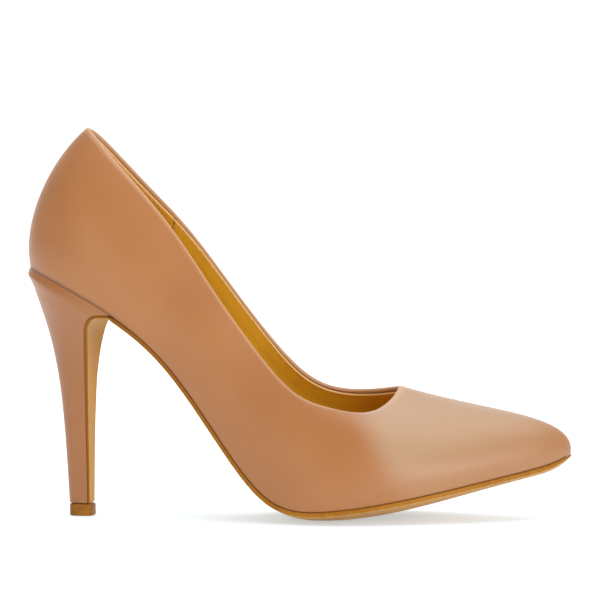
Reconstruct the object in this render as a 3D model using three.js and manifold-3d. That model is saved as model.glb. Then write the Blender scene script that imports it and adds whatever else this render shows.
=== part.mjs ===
// A right-foot court shoe on a covered stem heel, in millimetres: +X toe, +Y inner side, +Z up.
// The last is four smooth rings round the foot; each wall line is one Bezier curve across them.
import * as THREE from 'three';
import { mergeVertices } from 'three/addons/utils/BufferGeometryUtils.js';
import Module from 'manifold-3d';

const manifoldLibrary = await Module();
manifoldLibrary.setup();

// ---------------------------------------------------------------- driving dimensions

const FIT_GAP = 0.3;
const ROUND_STEPS = 48;
const UPPER_THICKNESS = 1.1;
const LINING_THICKNESS = 0.7;
const PUFF_THICKNESS = 0.7;
const COUNTER_THICKNESS = 1.0;
const TAPE_THICKNESS = 0.3;
const COVER_THICKNESS = 0.8;
const LASTING_MARGIN = { wide: 9, narrow: 4.5 };
const TREAD_CROWN = { drop: 3.6, width: 71 };
const TOP_LIFT_HEIGHT = 4.8;
const HEEL_SWING = THREE.MathUtils.degToRad(6);
const LAST_CENTRE = new THREE.Vector3(-0.9, -1.1, 0);

// One row for each wall line, round from the back seam by the outer side to the toe and home by
// the inner side: the feather edge, the two handles that swell the wall, and the topline.
const WALL_LINES = [
  {
    at: 'back',
    line: [[-108.8, 0.3, 100.2], [-112.4, 0.3, 118], [-101.5, 0.3, 143], [-85.6, 0.5, 156.2]],
  },
  {
    at: 'back_out',
    line: [[-104.5, -11, 98.2], [-108, -13.5, 116], [-98, -11, 140], [-82.5, -6.5, 153.7]],
  },
  {
    at: 'heel_out',
    line: [[-91, -21, 91.6], [-92.5, -27, 109], [-86, -22.5, 131], [-74, -13.2, 144.8]],
  },
  {
    at: 'seat_out',
    line: [[-70, -25.2, 79.4], [-69.5, -32, 96], [-66, -26.5, 116], [-60.5, -18.8, 130.3]],
  },
  {
    at: 'arch_out',
    line: [[-49, -24.2, 60], [-49, -31, 76], [-47, -27.5, 96], [-46, -21.5, 112.5]],
  },
  {
    at: 'shank_out',
    line: [[-28, -26.3, 30.8], [-28, -32.5, 47], [-29, -29, 70], [-31, -24, 90.5]],
  },
  {
    at: 'waist_out',
    line: [[-8.5, -31.2, 9], [-8.5, -36.5, 22], [-12, -31, 48], [-16, -25.3, 69.8]],
  },
  {
    at: 'joint_out',
    line: [[13, -36.8, 5.6], [11.5, -41, 15], [6, -34, 35], [-1, -27, 53]],
  },
  {
    at: 'ball_out',
    line: [[37, -34.2, 8.8], [36.5, -38.5, 19], [27, -33.5, 36], [12.5, -27, 46.5]],
  },
  {
    at: 'toe_out',
    line: [[60, -26.9, 13.4], [60, -31, 24], [43, -28, 37.5], [24, -24, 44]],
  },
  {
    at: 'tip_out',
    line: [[83, -16.3, 18.5], [84, -20.5, 31], [56, -19, 41.5], [32, -16, 44.8]],
  },
  {
    at: 'nose_out',
    line: [[101, -6.6, 23], [103, -9, 38.5], [69, -10, 43], [37.4, -7.5, 48.9]],
  },
  {
    at: 'nose',
    line: [[108.2, 1, 26.2], [111, 1, 43], [72, 1, 42.8], [39.6, 0.5, 52.6]],
  },
  {
    at: 'nose_in',
    line: [[103, 7.2, 23.4], [104.5, 9.6, 38.5], [70, 11, 43.5], [38.2, 8, 52.6]],
  },
  {
    at: 'tip_in',
    line: [[86, 15.2, 19.2], [86.5, 19.5, 32], [59, 20, 43.8], [33, 14.8, 51.5]],
  },
  {
    at: 'toe_in',
    line: [[63, 25.6, 14], [62.5, 30, 25], [46, 27.5, 42.5], [24.5, 21.8, 50.4]],
  },
  {
    at: 'ball_in',
    line: [[38, 33.4, 9], [37, 38, 20], [28, 33.5, 41], [12.5, 25, 51]],
  },
  {
    at: 'joint_in',
    line: [[13, 31.2, 6.2], [12, 36.5, 18], [6, 32.5, 42], [-1, 24, 57.8]],
  },
  {
    at: 'waist_in',
    line: [[-8.5, 22, 10.5], [-8.5, 29, 26], [-12, 27.5, 55], [-16.5, 22.3, 74.8]],
  },
  {
    at: 'shank_in',
    line: [[-28, 16.8, 33.2], [-28, 25, 51], [-30, 24.5, 76], [-31.5, 21, 94.6]],
  },
  {
    at: 'arch_in',
    line: [[-49, 16.4, 62.2], [-49, 25, 79], [-48, 23.5, 99], [-46.5, 19.3, 114.6]],
  },
  {
    at: 'seat_in',
    line: [[-70, 20.6, 80.6], [-69.5, 29, 97], [-66, 25, 117.5], [-60.5, 17.6, 130]],
  },
  {
    at: 'heel_in',
    line: [[-91, 19.6, 92], [-92.5, 26, 109.5], [-86, 22, 131.5], [-74, 13, 144.8]],
  },
  {
    at: 'back_in',
    line: [[-104.5, 10.8, 98.4], [-108, 13.5, 116.5], [-98, 11.2, 140.5], [-82.5, 7, 153.9]],
  },
];

// Sections of the heel from the seat down: where its back and its breast stand, where the face of
// the sole flap lies ahead of the breast, its half width, how far the inner corner of the breast
// leads the outer one, and how deep the breast is hollowed.
const HEEL_SECTIONS = [
  {
    at: 'seat',
    back: [-108.8, 100.2],
    breast: [-73, 81.4],
    flap: [-72.6, 80.1],
    half: 22.9,
    lead: 0,
    hollow: 0,
  },
  {
    at: 'tongue',
    back: [-109.8, 97.6],
    breast: [-77.2, 81.5],
    flap: [-76.4, 80.25],
    half: 22.5,
    lead: 0.6,
    hollow: 0,
  },
  {
    at: 'corner',
    back: [-108.8, 95.2],
    breast: [-80.6, 81],
    flap: [-79.6, 80],
    half: 21.4,
    lead: 1.6,
    hollow: 0,
  },
  {
    at: 'fillet',
    back: [-107.6, 92.6],
    breast: [-83, 79.4],
    flap: [-81.6, 78.6],
    half: 19.6,
    lead: 2.4,
    hollow: 0.4,
  },
  {
    at: 'breast',
    back: [-106.2, 88.4],
    breast: [-84.6, 76],
    flap: [-83, 75.8],
    half: 17.1,
    lead: 2.6,
    hollow: 1,
  },
  {
    at: 'neck',
    back: [-104.5, 83.4],
    breast: [-85.1, 71.6],
    flap: [-83.5, 71.5],
    half: 14.4,
    lead: 2.2,
    hollow: 1.4,
  },
  {
    at: 'waist',
    back: [-102.4, 77],
    breast: [-85.45, 66],
    flap: [-83.85, 66],
    half: 12,
    lead: 1.7,
    hollow: 1.2,
  },
  {
    at: 'upper_stem',
    back: [-99.6, 66.5],
    breast: [-85.65, 56.5],
    flap: [-84.2, 56.5],
    half: 9.3,
    lead: 1.2,
    hollow: 0.8,
  },
  {
    at: 'mid_stem',
    back: [-97, 52],
    breast: [-85.75, 45.5],
    flap: [-84.4, 45.5],
    half: 7.2,
    lead: 1.1,
    hollow: 0.4,
  },
  {
    at: 'stem',
    back: [-95.3, 36],
    breast: [-85.7, 33.5],
    flap: [-84.5, 33.5],
    half: 5.95,
    lead: 1,
    hollow: 0.2,
  },
  {
    at: 'low_stem',
    back: [-94.1, 20],
    breast: [-85.5, 20],
    flap: [-84.4, 20],
    half: 5.1,
    lead: 0.8,
    hollow: 0,
  },
  {
    at: 'foot',
    back: [-93.2, 5.1],
    breast: [-85.35, 5.1],
    flap: [-84.3, 5.1],
    half: 4.7,
    lead: 0.6,
    hollow: 0,
  },
];

// ---------------------------------------------------------------- materials

const MATERIALS = {
  nude_leather: { color: 0xc69468, roughness: 0.55, metalness: 0 },
  heel_leather: { color: 0xb07a4c, roughness: 0.5, metalness: 0 },
  gold_lining: { color: 0xb98a42, roughness: 0.6, metalness: 0 },
  sole_leather: { color: 0xa97a40, roughness: 0.5, metalness: 0 },
  tan_rubber: { color: 0x8a5a28, roughness: 0.6, metalness: 0 },
  fibre_board: { color: 0x8d7350, roughness: 0.85, metalness: 0 },
  stiffener: { color: 0xd9d2c2, roughness: 0.8, metalness: 0 },
  foam: { color: 0xe6d9b8, roughness: 0.95, metalness: 0 },
  white_plastic: { color: 0xe9e6de, roughness: 0.45, metalness: 0 },
  spring_steel: { color: 0x7d8288, roughness: 0.4, metalness: 1 },
  bright_steel: { color: 0xb6babf, roughness: 0.3, metalness: 1 },
};

function material(slot) {
  const made = new THREE.MeshStandardMaterial(MATERIALS[slot]);
  made.name = slot;
  return made;
}

// ---------------------------------------------------------------- the last

function smooth(low, high, value) {
  return THREE.MathUtils.smoothstep(value, low, high);
}

// The control points of the closed uniform cubic B-spline that passes through the given points.
function ringControls(points) {
  const count = points.length;
  let controls = points.map((point) => point.clone());
  for (let round = 0; round < 60; round += 1) {
    controls = points.map((point, i) => {
      const sides = controls[(i + 1) % count].clone().add(controls[(i + count - 1) % count]);
      return point.clone().multiplyScalar(6).sub(sides).divideScalar(4);
    });
  }
  return controls;
}

const RINGS = [0, 1, 2, 3].map((ring) => ringControls(
  WALL_LINES.map(({ line }) => new THREE.Vector3(...line[ring]).sub(LAST_CENTRE)),
));

// A ring's point; round is 0 at the back seam, 0.25 outside, 0.5 at the toe and 0.75 inside.
function ringPoint(controls, round) {
  const count = controls.length;
  const place = THREE.MathUtils.euclideanModulo(round, 1) * count;
  const first = Math.floor(place);
  const f = place - first;
  const weights = [
    (1 - f) ** 3,
    3 * f ** 3 - 6 * f ** 2 + 4,
    -3 * f ** 3 + 3 * f ** 2 + 3 * f + 1,
    f ** 3,
  ];
  const point = new THREE.Vector3();
  weights.forEach((weight, i) => {
    point.addScaledVector(controls[(first + i + count - 1) % count], weight / 6);
  });
  return point;
}

function featherPoint(round) {
  return ringPoint(RINGS[0], round);
}

function wallPoint(round, rise) {
  const handles = RINGS.map((controls) => ringPoint(controls, round));
  return new THREE.CubicBezierCurve3(...handles).getPoint(rise);
}

const STEP = 1e-3;

function outwardNormal(surface, a, b) {
  const low = Math.max(b - STEP, 0);
  const high = Math.min(b + STEP, 1);
  const alongA = surface(a + STEP, b).sub(surface(a - STEP, b));
  const alongB = surface(a, high).sub(surface(a, low));
  return alongA.cross(alongB).normalize();
}

// A point under the outer face of the upper: rise is 0 at the feather edge and 1 at the topline.
function wallLayer(round, rise, depth) {
  return wallPoint(round, rise).addScaledVector(outwardNormal(wallPoint, round, rise), -depth);
}

// The last bottom's normal where a straight line joins the two sides at the same distance along.
function bottomNormal(round) {
  const half = THREE.MathUtils.clamp(Math.min(round, 1 - round), 0.03, 0.47);
  const middle = (at) => featherPoint(at).add(featherPoint(1 - at));
  const along = middle(half + STEP).sub(middle(half - STEP));
  const across = featherPoint(1 - half).sub(featherPoint(half));
  return along.cross(across).normalize();
}

// A point in from the feather edge, on the crowned last bottom or at a height above it.
function marginPoint(round, inset, height) {
  const turn = THREE.MathUtils.euclideanModulo(round, 1);
  const normal = bottomNormal(turn);
  const tangent = featherPoint(turn + STEP).sub(featherPoint(turn - STEP)).normalize();
  const inward = normal.clone().cross(tangent);
  return featherPoint(turn)
    .addScaledVector(inward, inset)
    .addScaledVector(normal, height - crownDrop(turn, inset));
}

function crownDrop(round, inset) {
  const width = featherPoint(round).distanceTo(featherPoint(1 - round));
  const share = Math.min(inset / Math.max(width, 1), 0.5);
  return TREAD_CROWN.drop * (width / TREAD_CROWN.width) ** 2 * 4 * share * (1 - share);
}

// A point of the last bottom: along is 0 at the back of the seat and 1 at the toe tip, across is
// 0 on the outer side and 1 on the inner side.
function bottomPoint(along, across, inset, height) {
  const round = along / 2;
  const outer = marginPoint(round, inset, height);
  const inner = marginPoint(1 - round, inset, height);
  const width = featherPoint(round).distanceTo(featherPoint(1 - round));
  const edge = crownDrop(round, inset);
  const drop = crownDrop(round, inset + Math.min(across, 1 - across) * (width - 2 * inset));
  return outer.lerp(inner, across).addScaledVector(bottomNormal(round), edge - drop);
}

// ---------------------------------------------------------------- solids

// The boundary of a bent box: each of its six sides is a grid, and corners that meet are merged.
function bentBox([countA, countB, countC], pointAt, closed = false) {
  const counts = [countA, countB, countC];
  const corners = [];
  const addSide = (first, second, third, end) => {
    const at = (i, j) => {
      const place = [0, 0, 0];
      place[first] = i / counts[first];
      place[second] = j / counts[second];
      place[third] = end;
      return pointAt(...place);
    };
    for (let i = 0; i < counts[first]; i += 1) {
      for (let j = 0; j < counts[second]; j += 1) {
        const quad = [at(i, j), at(i + 1, j), at(i + 1, j + 1), at(i, j + 1)];
        if (end === 0) quad.reverse();
        corners.push(quad[0], quad[1], quad[2], quad[0], quad[2], quad[3]);
      }
    }
  };
  for (const end of [0, 1]) {
    addSide(0, 1, 2, end);
    addSide(2, 0, 1, end);
    if (!closed) addSide(1, 2, 0, end);
  }
  return closedGeometry(corners);
}

function closedGeometry(corners) {
  const soup = new THREE.BufferGeometry().setFromPoints(corners);
  const merged = mergeVertices(soup, 1e-3);
  const index = [];
  for (let i = 0; i < merged.index.count; i += 3) {
    const [a, b, c] = [0, 1, 2].map((k) => merged.index.getX(i + k));
    if (a !== b && b !== c && c !== a) index.push(a, b, c);
  }
  merged.setIndex(index);
  if (enclosedVolume(merged) < 0) merged.setIndex(index.reverse());
  merged.computeVertexNormals();
  return merged;
}

function enclosedVolume(geometry) {
  const [a, b, c] = [new THREE.Vector3(), new THREE.Vector3(), new THREE.Vector3()];
  let volume = 0;
  for (let i = 0; i < geometry.index.count; i += 3) {
    a.fromBufferAttribute(geometry.attributes.position, geometry.index.getX(i));
    b.fromBufferAttribute(geometry.attributes.position, geometry.index.getX(i + 1));
    c.fromBufferAttribute(geometry.attributes.position, geometry.index.getX(i + 2));
    volume += a.dot(b.cross(c)) / 6;
  }
  return volume;
}

function toManifold(geometry) {
  const bare = new THREE.BufferGeometry();
  bare.setAttribute('position', geometry.attributes.position.clone());
  if (geometry.index) bare.setIndex(geometry.index.clone());
  const merged = mergeVertices(bare, 1e-4);
  return new manifoldLibrary.Manifold(new manifoldLibrary.Mesh({
    numProp: 3,
    vertProperties: new Float32Array(merged.attributes.position.array),
    triVerts: new Uint32Array(merged.index.array),
  }));
}

function fromManifold(body) {
  const { numProp, vertProperties, triVerts } = body.getMesh();
  const geometry = new THREE.BufferGeometry();
  geometry.setAttribute('position', new THREE.BufferAttribute(new Float32Array(vertProperties), numProp));
  geometry.setIndex(new THREE.BufferAttribute(new Uint32Array(triVerts), 1));
  geometry.computeVertexNormals();
  return geometry;
}

function drill(geometry, holes) {
  const cut = holes.reduce((body, hole) => body.subtract(toManifold(hole)), toManifold(geometry));
  return fromManifold(cut);
}

// A turned solid from [radius, height] pairs, stood on its foot along an axis.
function turned(profile, foot, axis, segments = 16) {
  const outline = profile.map(([radius, height]) => new THREE.Vector2(radius, height));
  const geometry = new THREE.LatheGeometry(outline, segments);
  const up = new THREE.Vector3(0, 1, 0);
  geometry.applyQuaternion(new THREE.Quaternion().setFromUnitVectors(up, axis));
  geometry.translate(foot.x, foot.y, foot.z);
  const flat = geometry.toNonIndexed().attributes.position;
  const corners = Array.from({ length: flat.count }, (_, i) => (
    new THREE.Vector3().fromBufferAttribute(flat, i)
  ));
  return closedGeometry(corners);
}

function rod(radius, foot, axis, low, high, segments) {
  return turned([[0, low], [radius, low], [radius, high], [0, high]], foot, axis, segments);
}

const shoe = new THREE.Group();
shoe.name = 'high_heel_pump';

function addPart(name, geometry, slot) {
  const mesh = new THREE.Mesh(geometry, material(slot));
  mesh.name = name;
  shoe.add(mesh);
}

// ---------------------------------------------------------------- upper and its linings

const MARGIN_FLOOR = 0.5;
const SKIVED_MARGIN = 0.8;
const WALL_ROWS = 9;
const MARGIN_ROWS = 2;
const WALL_SHARE = WALL_ROWS / (WALL_ROWS + MARGIN_ROWS);
const FLANGE_CORNER = UPPER_THICKNESS + 0.2;

function lastingMargin(round) {
  const half = Math.min(round, 1 - round);
  return THREE.MathUtils.lerp(LASTING_MARGIN.wide, LASTING_MARGIN.narrow, smooth(0.4, 0.48, half));
}

// Down the wall for the first share of the section, then in under the insole board.
function upperPoint(round, down, depth) {
  const turn = THREE.MathUtils.euclideanModulo(round, 1);
  if (down < WALL_SHARE - 1e-6) {
    return wallLayer(turn, 1 - down / WALL_SHARE, depth * UPPER_THICKNESS);
  }
  const reach = (down - WALL_SHARE) / (1 - WALL_SHARE);
  const start = depth * FLANGE_CORNER;
  const inset = THREE.MathUtils.lerp(start, lastingMargin(turn), reach);
  return marginPoint(turn, inset, MARGIN_FLOOR + depth * SKIVED_MARGIN);
}

addPart('upper', bentBox([ROUND_STEPS, WALL_ROWS + MARGIN_ROWS, 1], upperPoint, true), 'nude_leather');

const LINING_TOP = 0.964;
const LINING_FOOT = 0.12;
const GRIP_COLUMNS = 14;
const SEAM_ROUND = GRIP_COLUMNS / 2 / ROUND_STEPS;
const SEAM_GAP = 0.0006;
const PUFF = { half: 4 / ROUND_STEPS, low: 0.14, high: 0.58 };
const COUNTER = { half: 6 / ROUND_STEPS, low: 0.14, high: 0.7 };
const TAPE = { low: 0.88, high: 0.93 };
const BEHIND_UPPER = UPPER_THICKNESS + FIT_GAP;

// The lining lies on the upper, and stands off it behind the two stiffeners and the edge tape.
function liningDepth(round, rise) {
  const toToe = Math.abs(round - 0.5);
  const toBack = 0.5 - toToe;
  const overPuff = (1 - smooth(PUFF.half + 0.022, PUFF.half + 0.045, toToe))
    * (1 - smooth(PUFF.high + 0.03, PUFF.high + 0.16, rise));
  const overCounter = (1 - smooth(COUNTER.half + 0.022, COUNTER.half + 0.04, toBack))
    * (1 - smooth(COUNTER.high + 0.03, COUNTER.high + 0.13, rise));
  const overTape = smooth(TAPE.low - 0.14, TAPE.low - 0.03, rise);
  return BEHIND_UPPER + Math.max(
    overPuff * (PUFF_THICKNESS + FIT_GAP),
    overCounter * (COUNTER_THICKNESS + FIT_GAP),
    overTape * (TAPE_THICKNESS + FIT_GAP),
  );
}

function liningPoint(round, up, depth) {
  const turn = THREE.MathUtils.euclideanModulo(round, 1);
  const rise = THREE.MathUtils.lerp(LINING_FOOT, LINING_TOP, up);
  return wallLayer(turn, rise, liningDepth(turn, rise) + depth * LINING_THICKNESS);
}

function spread(low, high, share) {
  return THREE.MathUtils.lerp(low, high, share);
}

const vampLining = bentBox([ROUND_STEPS - GRIP_COLUMNS, 9, 1], (a, b, c) => (
  liningPoint(spread(SEAM_ROUND + SEAM_GAP, 1 - SEAM_ROUND - SEAM_GAP, a), b, c)
));
addPart('vamp_lining', vampLining, 'gold_lining');

const heelGrip = bentBox([GRIP_COLUMNS, 9, 1], (a, b, c) => (
  liningPoint(spread(-SEAM_ROUND, SEAM_ROUND, a), b, c)
));
addPart('heel_grip', heelGrip, 'gold_lining');

function stiffener({ half, low, high }, centre, thickness, counts) {
  return bentBox(counts, (a, b, c) => {
    const round = THREE.MathUtils.euclideanModulo(spread(centre - half, centre + half, a), 1);
    return wallLayer(round, spread(low, high, b), BEHIND_UPPER + c * thickness);
  });
}

addPart('toe_puff', stiffener(PUFF, 0.5, PUFF_THICKNESS, [8, 5, 1]), 'stiffener');
addPart('heel_counter', stiffener(COUNTER, 0, COUNTER_THICKNESS, [12, 5, 1]), 'stiffener');

const toplineTape = bentBox([ROUND_STEPS, 1, 1], (a, b, c) => (
  wallLayer(a, spread(TAPE.low, TAPE.high, b), BEHIND_UPPER + c * TAPE_THICKNESS)
), true);
addPart('topline_tape', toplineTape, 'stiffener');

// ---------------------------------------------------------------- bottom stack

const SHANK_LAYER = { low: MARGIN_FLOOR, high: 1.4 };
const BOARD_LAYER = { low: SHANK_LAYER.high + 0.6, high: 3.1 };
const SHANK_BOARD_LAYER = { low: BOARD_LAYER.high + FIT_GAP, high: 4.3 };
const HEEL_PAD_LAYER = { low: SHANK_BOARD_LAYER.high + FIT_GAP, high: 6.4 };
const CUSHION_LAYER = { low: BOARD_LAYER.high + FIT_GAP, high: 5.2 };
const SOCK_THICKNESS = 0.8;

function slab({ low, high }, inset, [from, to], counts) {
  return bentBox(counts, (a, b, c) => (
    bottomPoint(spread(from, to, a), b, inset, spread(low, high, c))
  ));
}

// A strip of constant width down the middle of the bottom.
function strip({ low, high }, width, [from, to], counts) {
  return bentBox(counts, (a, b, c) => {
    const along = spread(from, to, a);
    const full = featherPoint(along / 2).distanceTo(featherPoint(1 - along / 2));
    const across = 0.5 + (b - 0.5) * width / full;
    return bottomPoint(along, across, 0, spread(low, high, c));
  });
}

function seatAxis(along) {
  return bottomNormal(along / 2);
}

// Fasteners: the head sits in the shank board, and the shaft runs down square to the board.
function fastener(along, across, { head, shaft, length }) {
  const foot = bottomPoint(along, across, 0, 0);
  const axis = seatAxis(along);
  const under = SHANK_BOARD_LAYER.low + HEAD_RECESS;
  const over = SHANK_BOARD_LAYER.high - HEAD_RECESS;
  const low = SHANK_BOARD_LAYER.low - length;
  const profile = (grow) => [
    [0, low - grow],
    [shaft + grow, low - grow],
    [shaft + grow, under - grow],
    [head + grow, under - grow],
    [head + grow, over + grow * 4],
    [0, over + grow * 4],
  ];
  return {
    solid: turned(profile(0), foot, axis, 8),
    hole: turned(profile(FIT_GAP), foot, axis, 8),
  };
}

const HEAD_RECESS = 0.05;
const SCREW = { head: 3.4, shaft: 1.9, length: 16 };
const NAIL = { head: 1.9, shaft: 0.9, length: 11 };
const RIVET = { head: 2.6, shaft: 1.5, length: SHANK_BOARD_LAYER.low - SHANK_LAYER.low - HEAD_RECESS };

// Places on the seat: how far along the bottom, and how far across it from the outer side.
const SCREW_PLACE = { along: 0.165, across: 0.5 };
const NAIL_PLACES = [
  { along: 0.14, across: 0.38 },
  { along: 0.14, across: 0.62 },
  { along: 0.175, across: 0.29 },
  { along: 0.175, across: 0.71 },
];
const RIVET_PLACES = [
  { name: 'shank_rivet_rear', along: 0.255 },
  { name: 'shank_rivet_front', along: 0.46 },
];

const screw = fastener(SCREW_PLACE.along, SCREW_PLACE.across, SCREW);
const nails = NAIL_PLACES.map(({ along, across }) => fastener(along, across, NAIL));
const rivets = RIVET_PLACES.map(({ name, along }) => ({ name, ...fastener(along, 0.5, RIVET) }));

const seatHoles = [screw, ...nails].map(({ hole }) => hole);
const rivetHoles = rivets.map(({ hole }) => hole);

const BOARD_INSET = 1.8;
const SHANK_BOARD_INSET = 4.2;
const PAD_INSET = 5.2;
const SOCK_INSET = 4.6;
const SHANK_WIDTH = 9;
const SHANK_RANGE = [0.235, 0.5];
const FILLER_RANGE = [0.54, 0.84];
const HEEL_PAD_RANGE = [0.03, 0.27];
const CUSHION_RANGE = [0.58, 0.86];

const insoleBoard = slab(BOARD_LAYER, BOARD_INSET, [0, 1], [24, 4, 1]);
addPart('insole_board', drill(insoleBoard, [...seatHoles, ...rivetHoles]), 'fibre_board');

const shankBoard = slab(SHANK_BOARD_LAYER, SHANK_BOARD_INSET, [0, 0.5], [12, 4, 1]);
addPart('shank_board', drill(shankBoard, [...seatHoles, ...rivetHoles]), 'fibre_board');

const steelShank = strip(SHANK_LAYER, SHANK_WIDTH, SHANK_RANGE, [12, 2, 1]);
addPart('steel_shank', drill(steelShank, rivetHoles), 'spring_steel');

addPart('heel_screw', screw.solid, 'bright_steel');
nails.forEach(({ solid }, i) => addPart(`heel_nail_${i + 1}`, solid, 'bright_steel'));
rivets.forEach(({ name, solid }) => addPart(name, solid, 'bright_steel'));

const fillerInset = LASTING_MARGIN.wide + MARGIN_FLOOR;
addPart('bottom_filler', slab(SHANK_LAYER, fillerInset, FILLER_RANGE, [8, 4, 1]), 'foam');
addPart('heel_pad', slab(HEEL_PAD_LAYER, PAD_INSET, HEEL_PAD_RANGE, [6, 4, 1]), 'foam');
addPart('forefoot_cushion', slab(CUSHION_LAYER, PAD_INSET, CUSHION_RANGE, [8, 4, 1]), 'foam');

// The sock lies on the pads and boards, and steps down smoothly where each of them ends.
function sockHeight(along) {
  const board = CUSHION_LAYER.low;
  const shank = (1 - smooth(0.53, 0.57, along)) * (HEEL_PAD_LAYER.low - board);
  const heel = (1 - smooth(0.295, 0.36, along)) * (HEEL_PAD_LAYER.high - HEEL_PAD_LAYER.low + FIT_GAP);
  const ball = smooth(0.52, 0.56, along) * (1 - smooth(0.87, 0.93, along))
    * (CUSHION_LAYER.high - board + FIT_GAP);
  return board + Math.max(shank + heel, ball);
}

const sockLining = bentBox([24, 4, 1], (a, b, c) => (
  bottomPoint(a, b, SOCK_INSET, sockHeight(a) + c * SOCK_THICKNESS)
));
addPart('sock_lining', sockLining, 'gold_lining');

// ---------------------------------------------------------------- heel

const BREAST_ROUND = 2.857 / WALL_LINES.length;
const heelBack = new THREE.SplineCurve(HEEL_SECTIONS.map(({ back }) => new THREE.Vector2(...back)));
const heelBreast = new THREE.SplineCurve(HEEL_SECTIONS.map(({ breast }) => new THREE.Vector2(...breast)));
const flapFace = new THREE.SplineCurve(HEEL_SECTIONS.map(({ flap }) => new THREE.Vector2(...flap)));
const heelWidth = new THREE.SplineCurve(
  HEEL_SECTIONS.map(({ half, lead }) => new THREE.Vector2(half, lead)),
);
const breastHollow = new THREE.SplineCurve(
  HEEL_SECTIONS.map(({ hollow }, i) => new THREE.Vector2(i, hollow)),
);
const outerBreast = featherPoint(BREAST_ROUND);
const innerBreast = featherPoint(-BREAST_ROUND);
const seatMiddle = (outerBreast.y + innerBreast.y) / 2;
const seatHalf = (innerBreast.y - outerBreast.y) / 2;
const seatFront = (outerBreast.x + innerBreast.x) / 2;
const seatBack = featherPoint(0).x;
const FOOT_MIDDLE = 0.6;
const SEAT_BLEND = 0.1;
// The block ends a little behind the cover, which is turned over its breast edge.
const BLOCK_ROUND = BREAST_ROUND - 0.19 / WALL_LINES.length;
const HEEL_STEPS = 18;
const BREAST_STEPS = 6;

function heelMiddle(down) {
  return spread(seatMiddle, FOOT_MIDDLE, smooth(0, 0.6, down));
}

// A point of the hollow breast; side runs from -1 on the outer corner to 1 on the inner corner.
function breastPoint(down, side, line) {
  const place = line.getPoint(down);
  const width = heelWidth.getPoint(down);
  const hollow = breastHollow.getPoint(down).y * (1 - side ** 2);
  return new THREE.Vector3(
    place.x + width.y * (1 + side) / 2 - hollow - LAST_CENTRE.x,
    heelMiddle(down) + side * width.x,
    place.y,
  );
}

// Every section of the heel is the outline of the seat, drawn in to that section's depth and width.
function heelSurface(round, down) {
  const seat = featherPoint(round);
  const reach = (seat.x - seatFront) / (seatBack - seatFront);
  const side = (seat.y - seatMiddle) / seatHalf;
  const back = heelBack.getPoint(down);
  const breast = heelBreast.getPoint(down);
  const width = heelWidth.getPoint(down);
  const middle = heelMiddle(down);
  const lead = width.y * (1 + side) / 2 * (1 - reach);
  const drawn = new THREE.Vector3(
    spread(breast.x, back.x, reach) + lead - LAST_CENTRE.x,
    middle + side * width.x,
    spread(breast.y, back.y, reach),
  );
  return seat.lerp(drawn, smooth(0, SEAT_BLEND, down));
}

// Under the surface of the heel; at the seat the layers lie side by side on the last bottom.
function heelLayer(round, down, depth) {
  const normal = outwardNormal(heelSurface, round, down);
  const buried = heelSurface(round, down).addScaledVector(normal, depth);
  return marginPoint(round, depth, 0).lerp(buried, smooth(0, SEAT_BLEND, down));
}

// Across the heel from its outer to its inner face; the seat end keeps the crown of the last.
function heelPoint(along, across, down) {
  const round = along * BLOCK_ROUND;
  const depth = COVER_THICKNESS + FIT_GAP;
  const outer = heelLayer(round, down, depth);
  const inner = heelLayer(-round, down, depth);
  const inset = depth + Math.min(across, 1 - across) * outer.distanceTo(inner);
  const crown = crownDrop(round, inset) - crownDrop(round, depth);
  const dip = crown * (1 - smooth(0, SEAT_BLEND, down));
  const point = outer.lerp(inner, across).addScaledVector(bottomNormal(round), -dip);
  const side = (point.y - heelMiddle(down)) / heelWidth.getPoint(down).x;
  point.x -= breastHollow.getPoint(down).y * (1 - side ** 2) * along ** 8;
  return point;
}

const stemFoot = new THREE.Vector3(-88.3, FOOT_MIDDLE, 5.1);
const stemAxis = new THREE.Vector3(-2.9, 0, 42).normalize();
const PIN = { outer: 1.8, inner: 1.3, length: 40 };
const DOWEL = { radius: 1, low: -1.9, high: 14 };

const pinHole = rod(PIN.outer + FIT_GAP, stemFoot, stemAxis, -2, PIN.length + 1.5);
const heelBlock = bentBox([7, BREAST_STEPS, HEEL_STEPS], heelPoint);
addPart('heel_block', drill(heelBlock, [...seatHoles, pinHole]), 'white_plastic');

const heelPin = turned([
  [PIN.inner, 0.6],
  [PIN.outer, 0.6],
  [PIN.outer, PIN.length],
  [PIN.inner, PIN.length],
  [PIN.inner, 0.6],
], stemFoot, stemAxis);
addPart('heel_pin', heelPin, 'spring_steel');

const heelCover = bentBox([14, HEEL_STEPS, 1], (a, b, c) => (
  heelLayer(spread(-BREAST_ROUND, BREAST_ROUND, a), b, c * COVER_THICKNESS)
));
addPart('heel_cover', heelCover, 'heel_leather');

const dowel = rod(DOWEL.radius, stemFoot, stemAxis, DOWEL.low, DOWEL.high, 12);
addPart('top_lift_dowel', dowel, 'bright_steel');

const LIFT = { back: -4.2, front: 5.1, half: 4.7, corner: 1.2, round: 3.6, edge: 0.5 };

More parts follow.
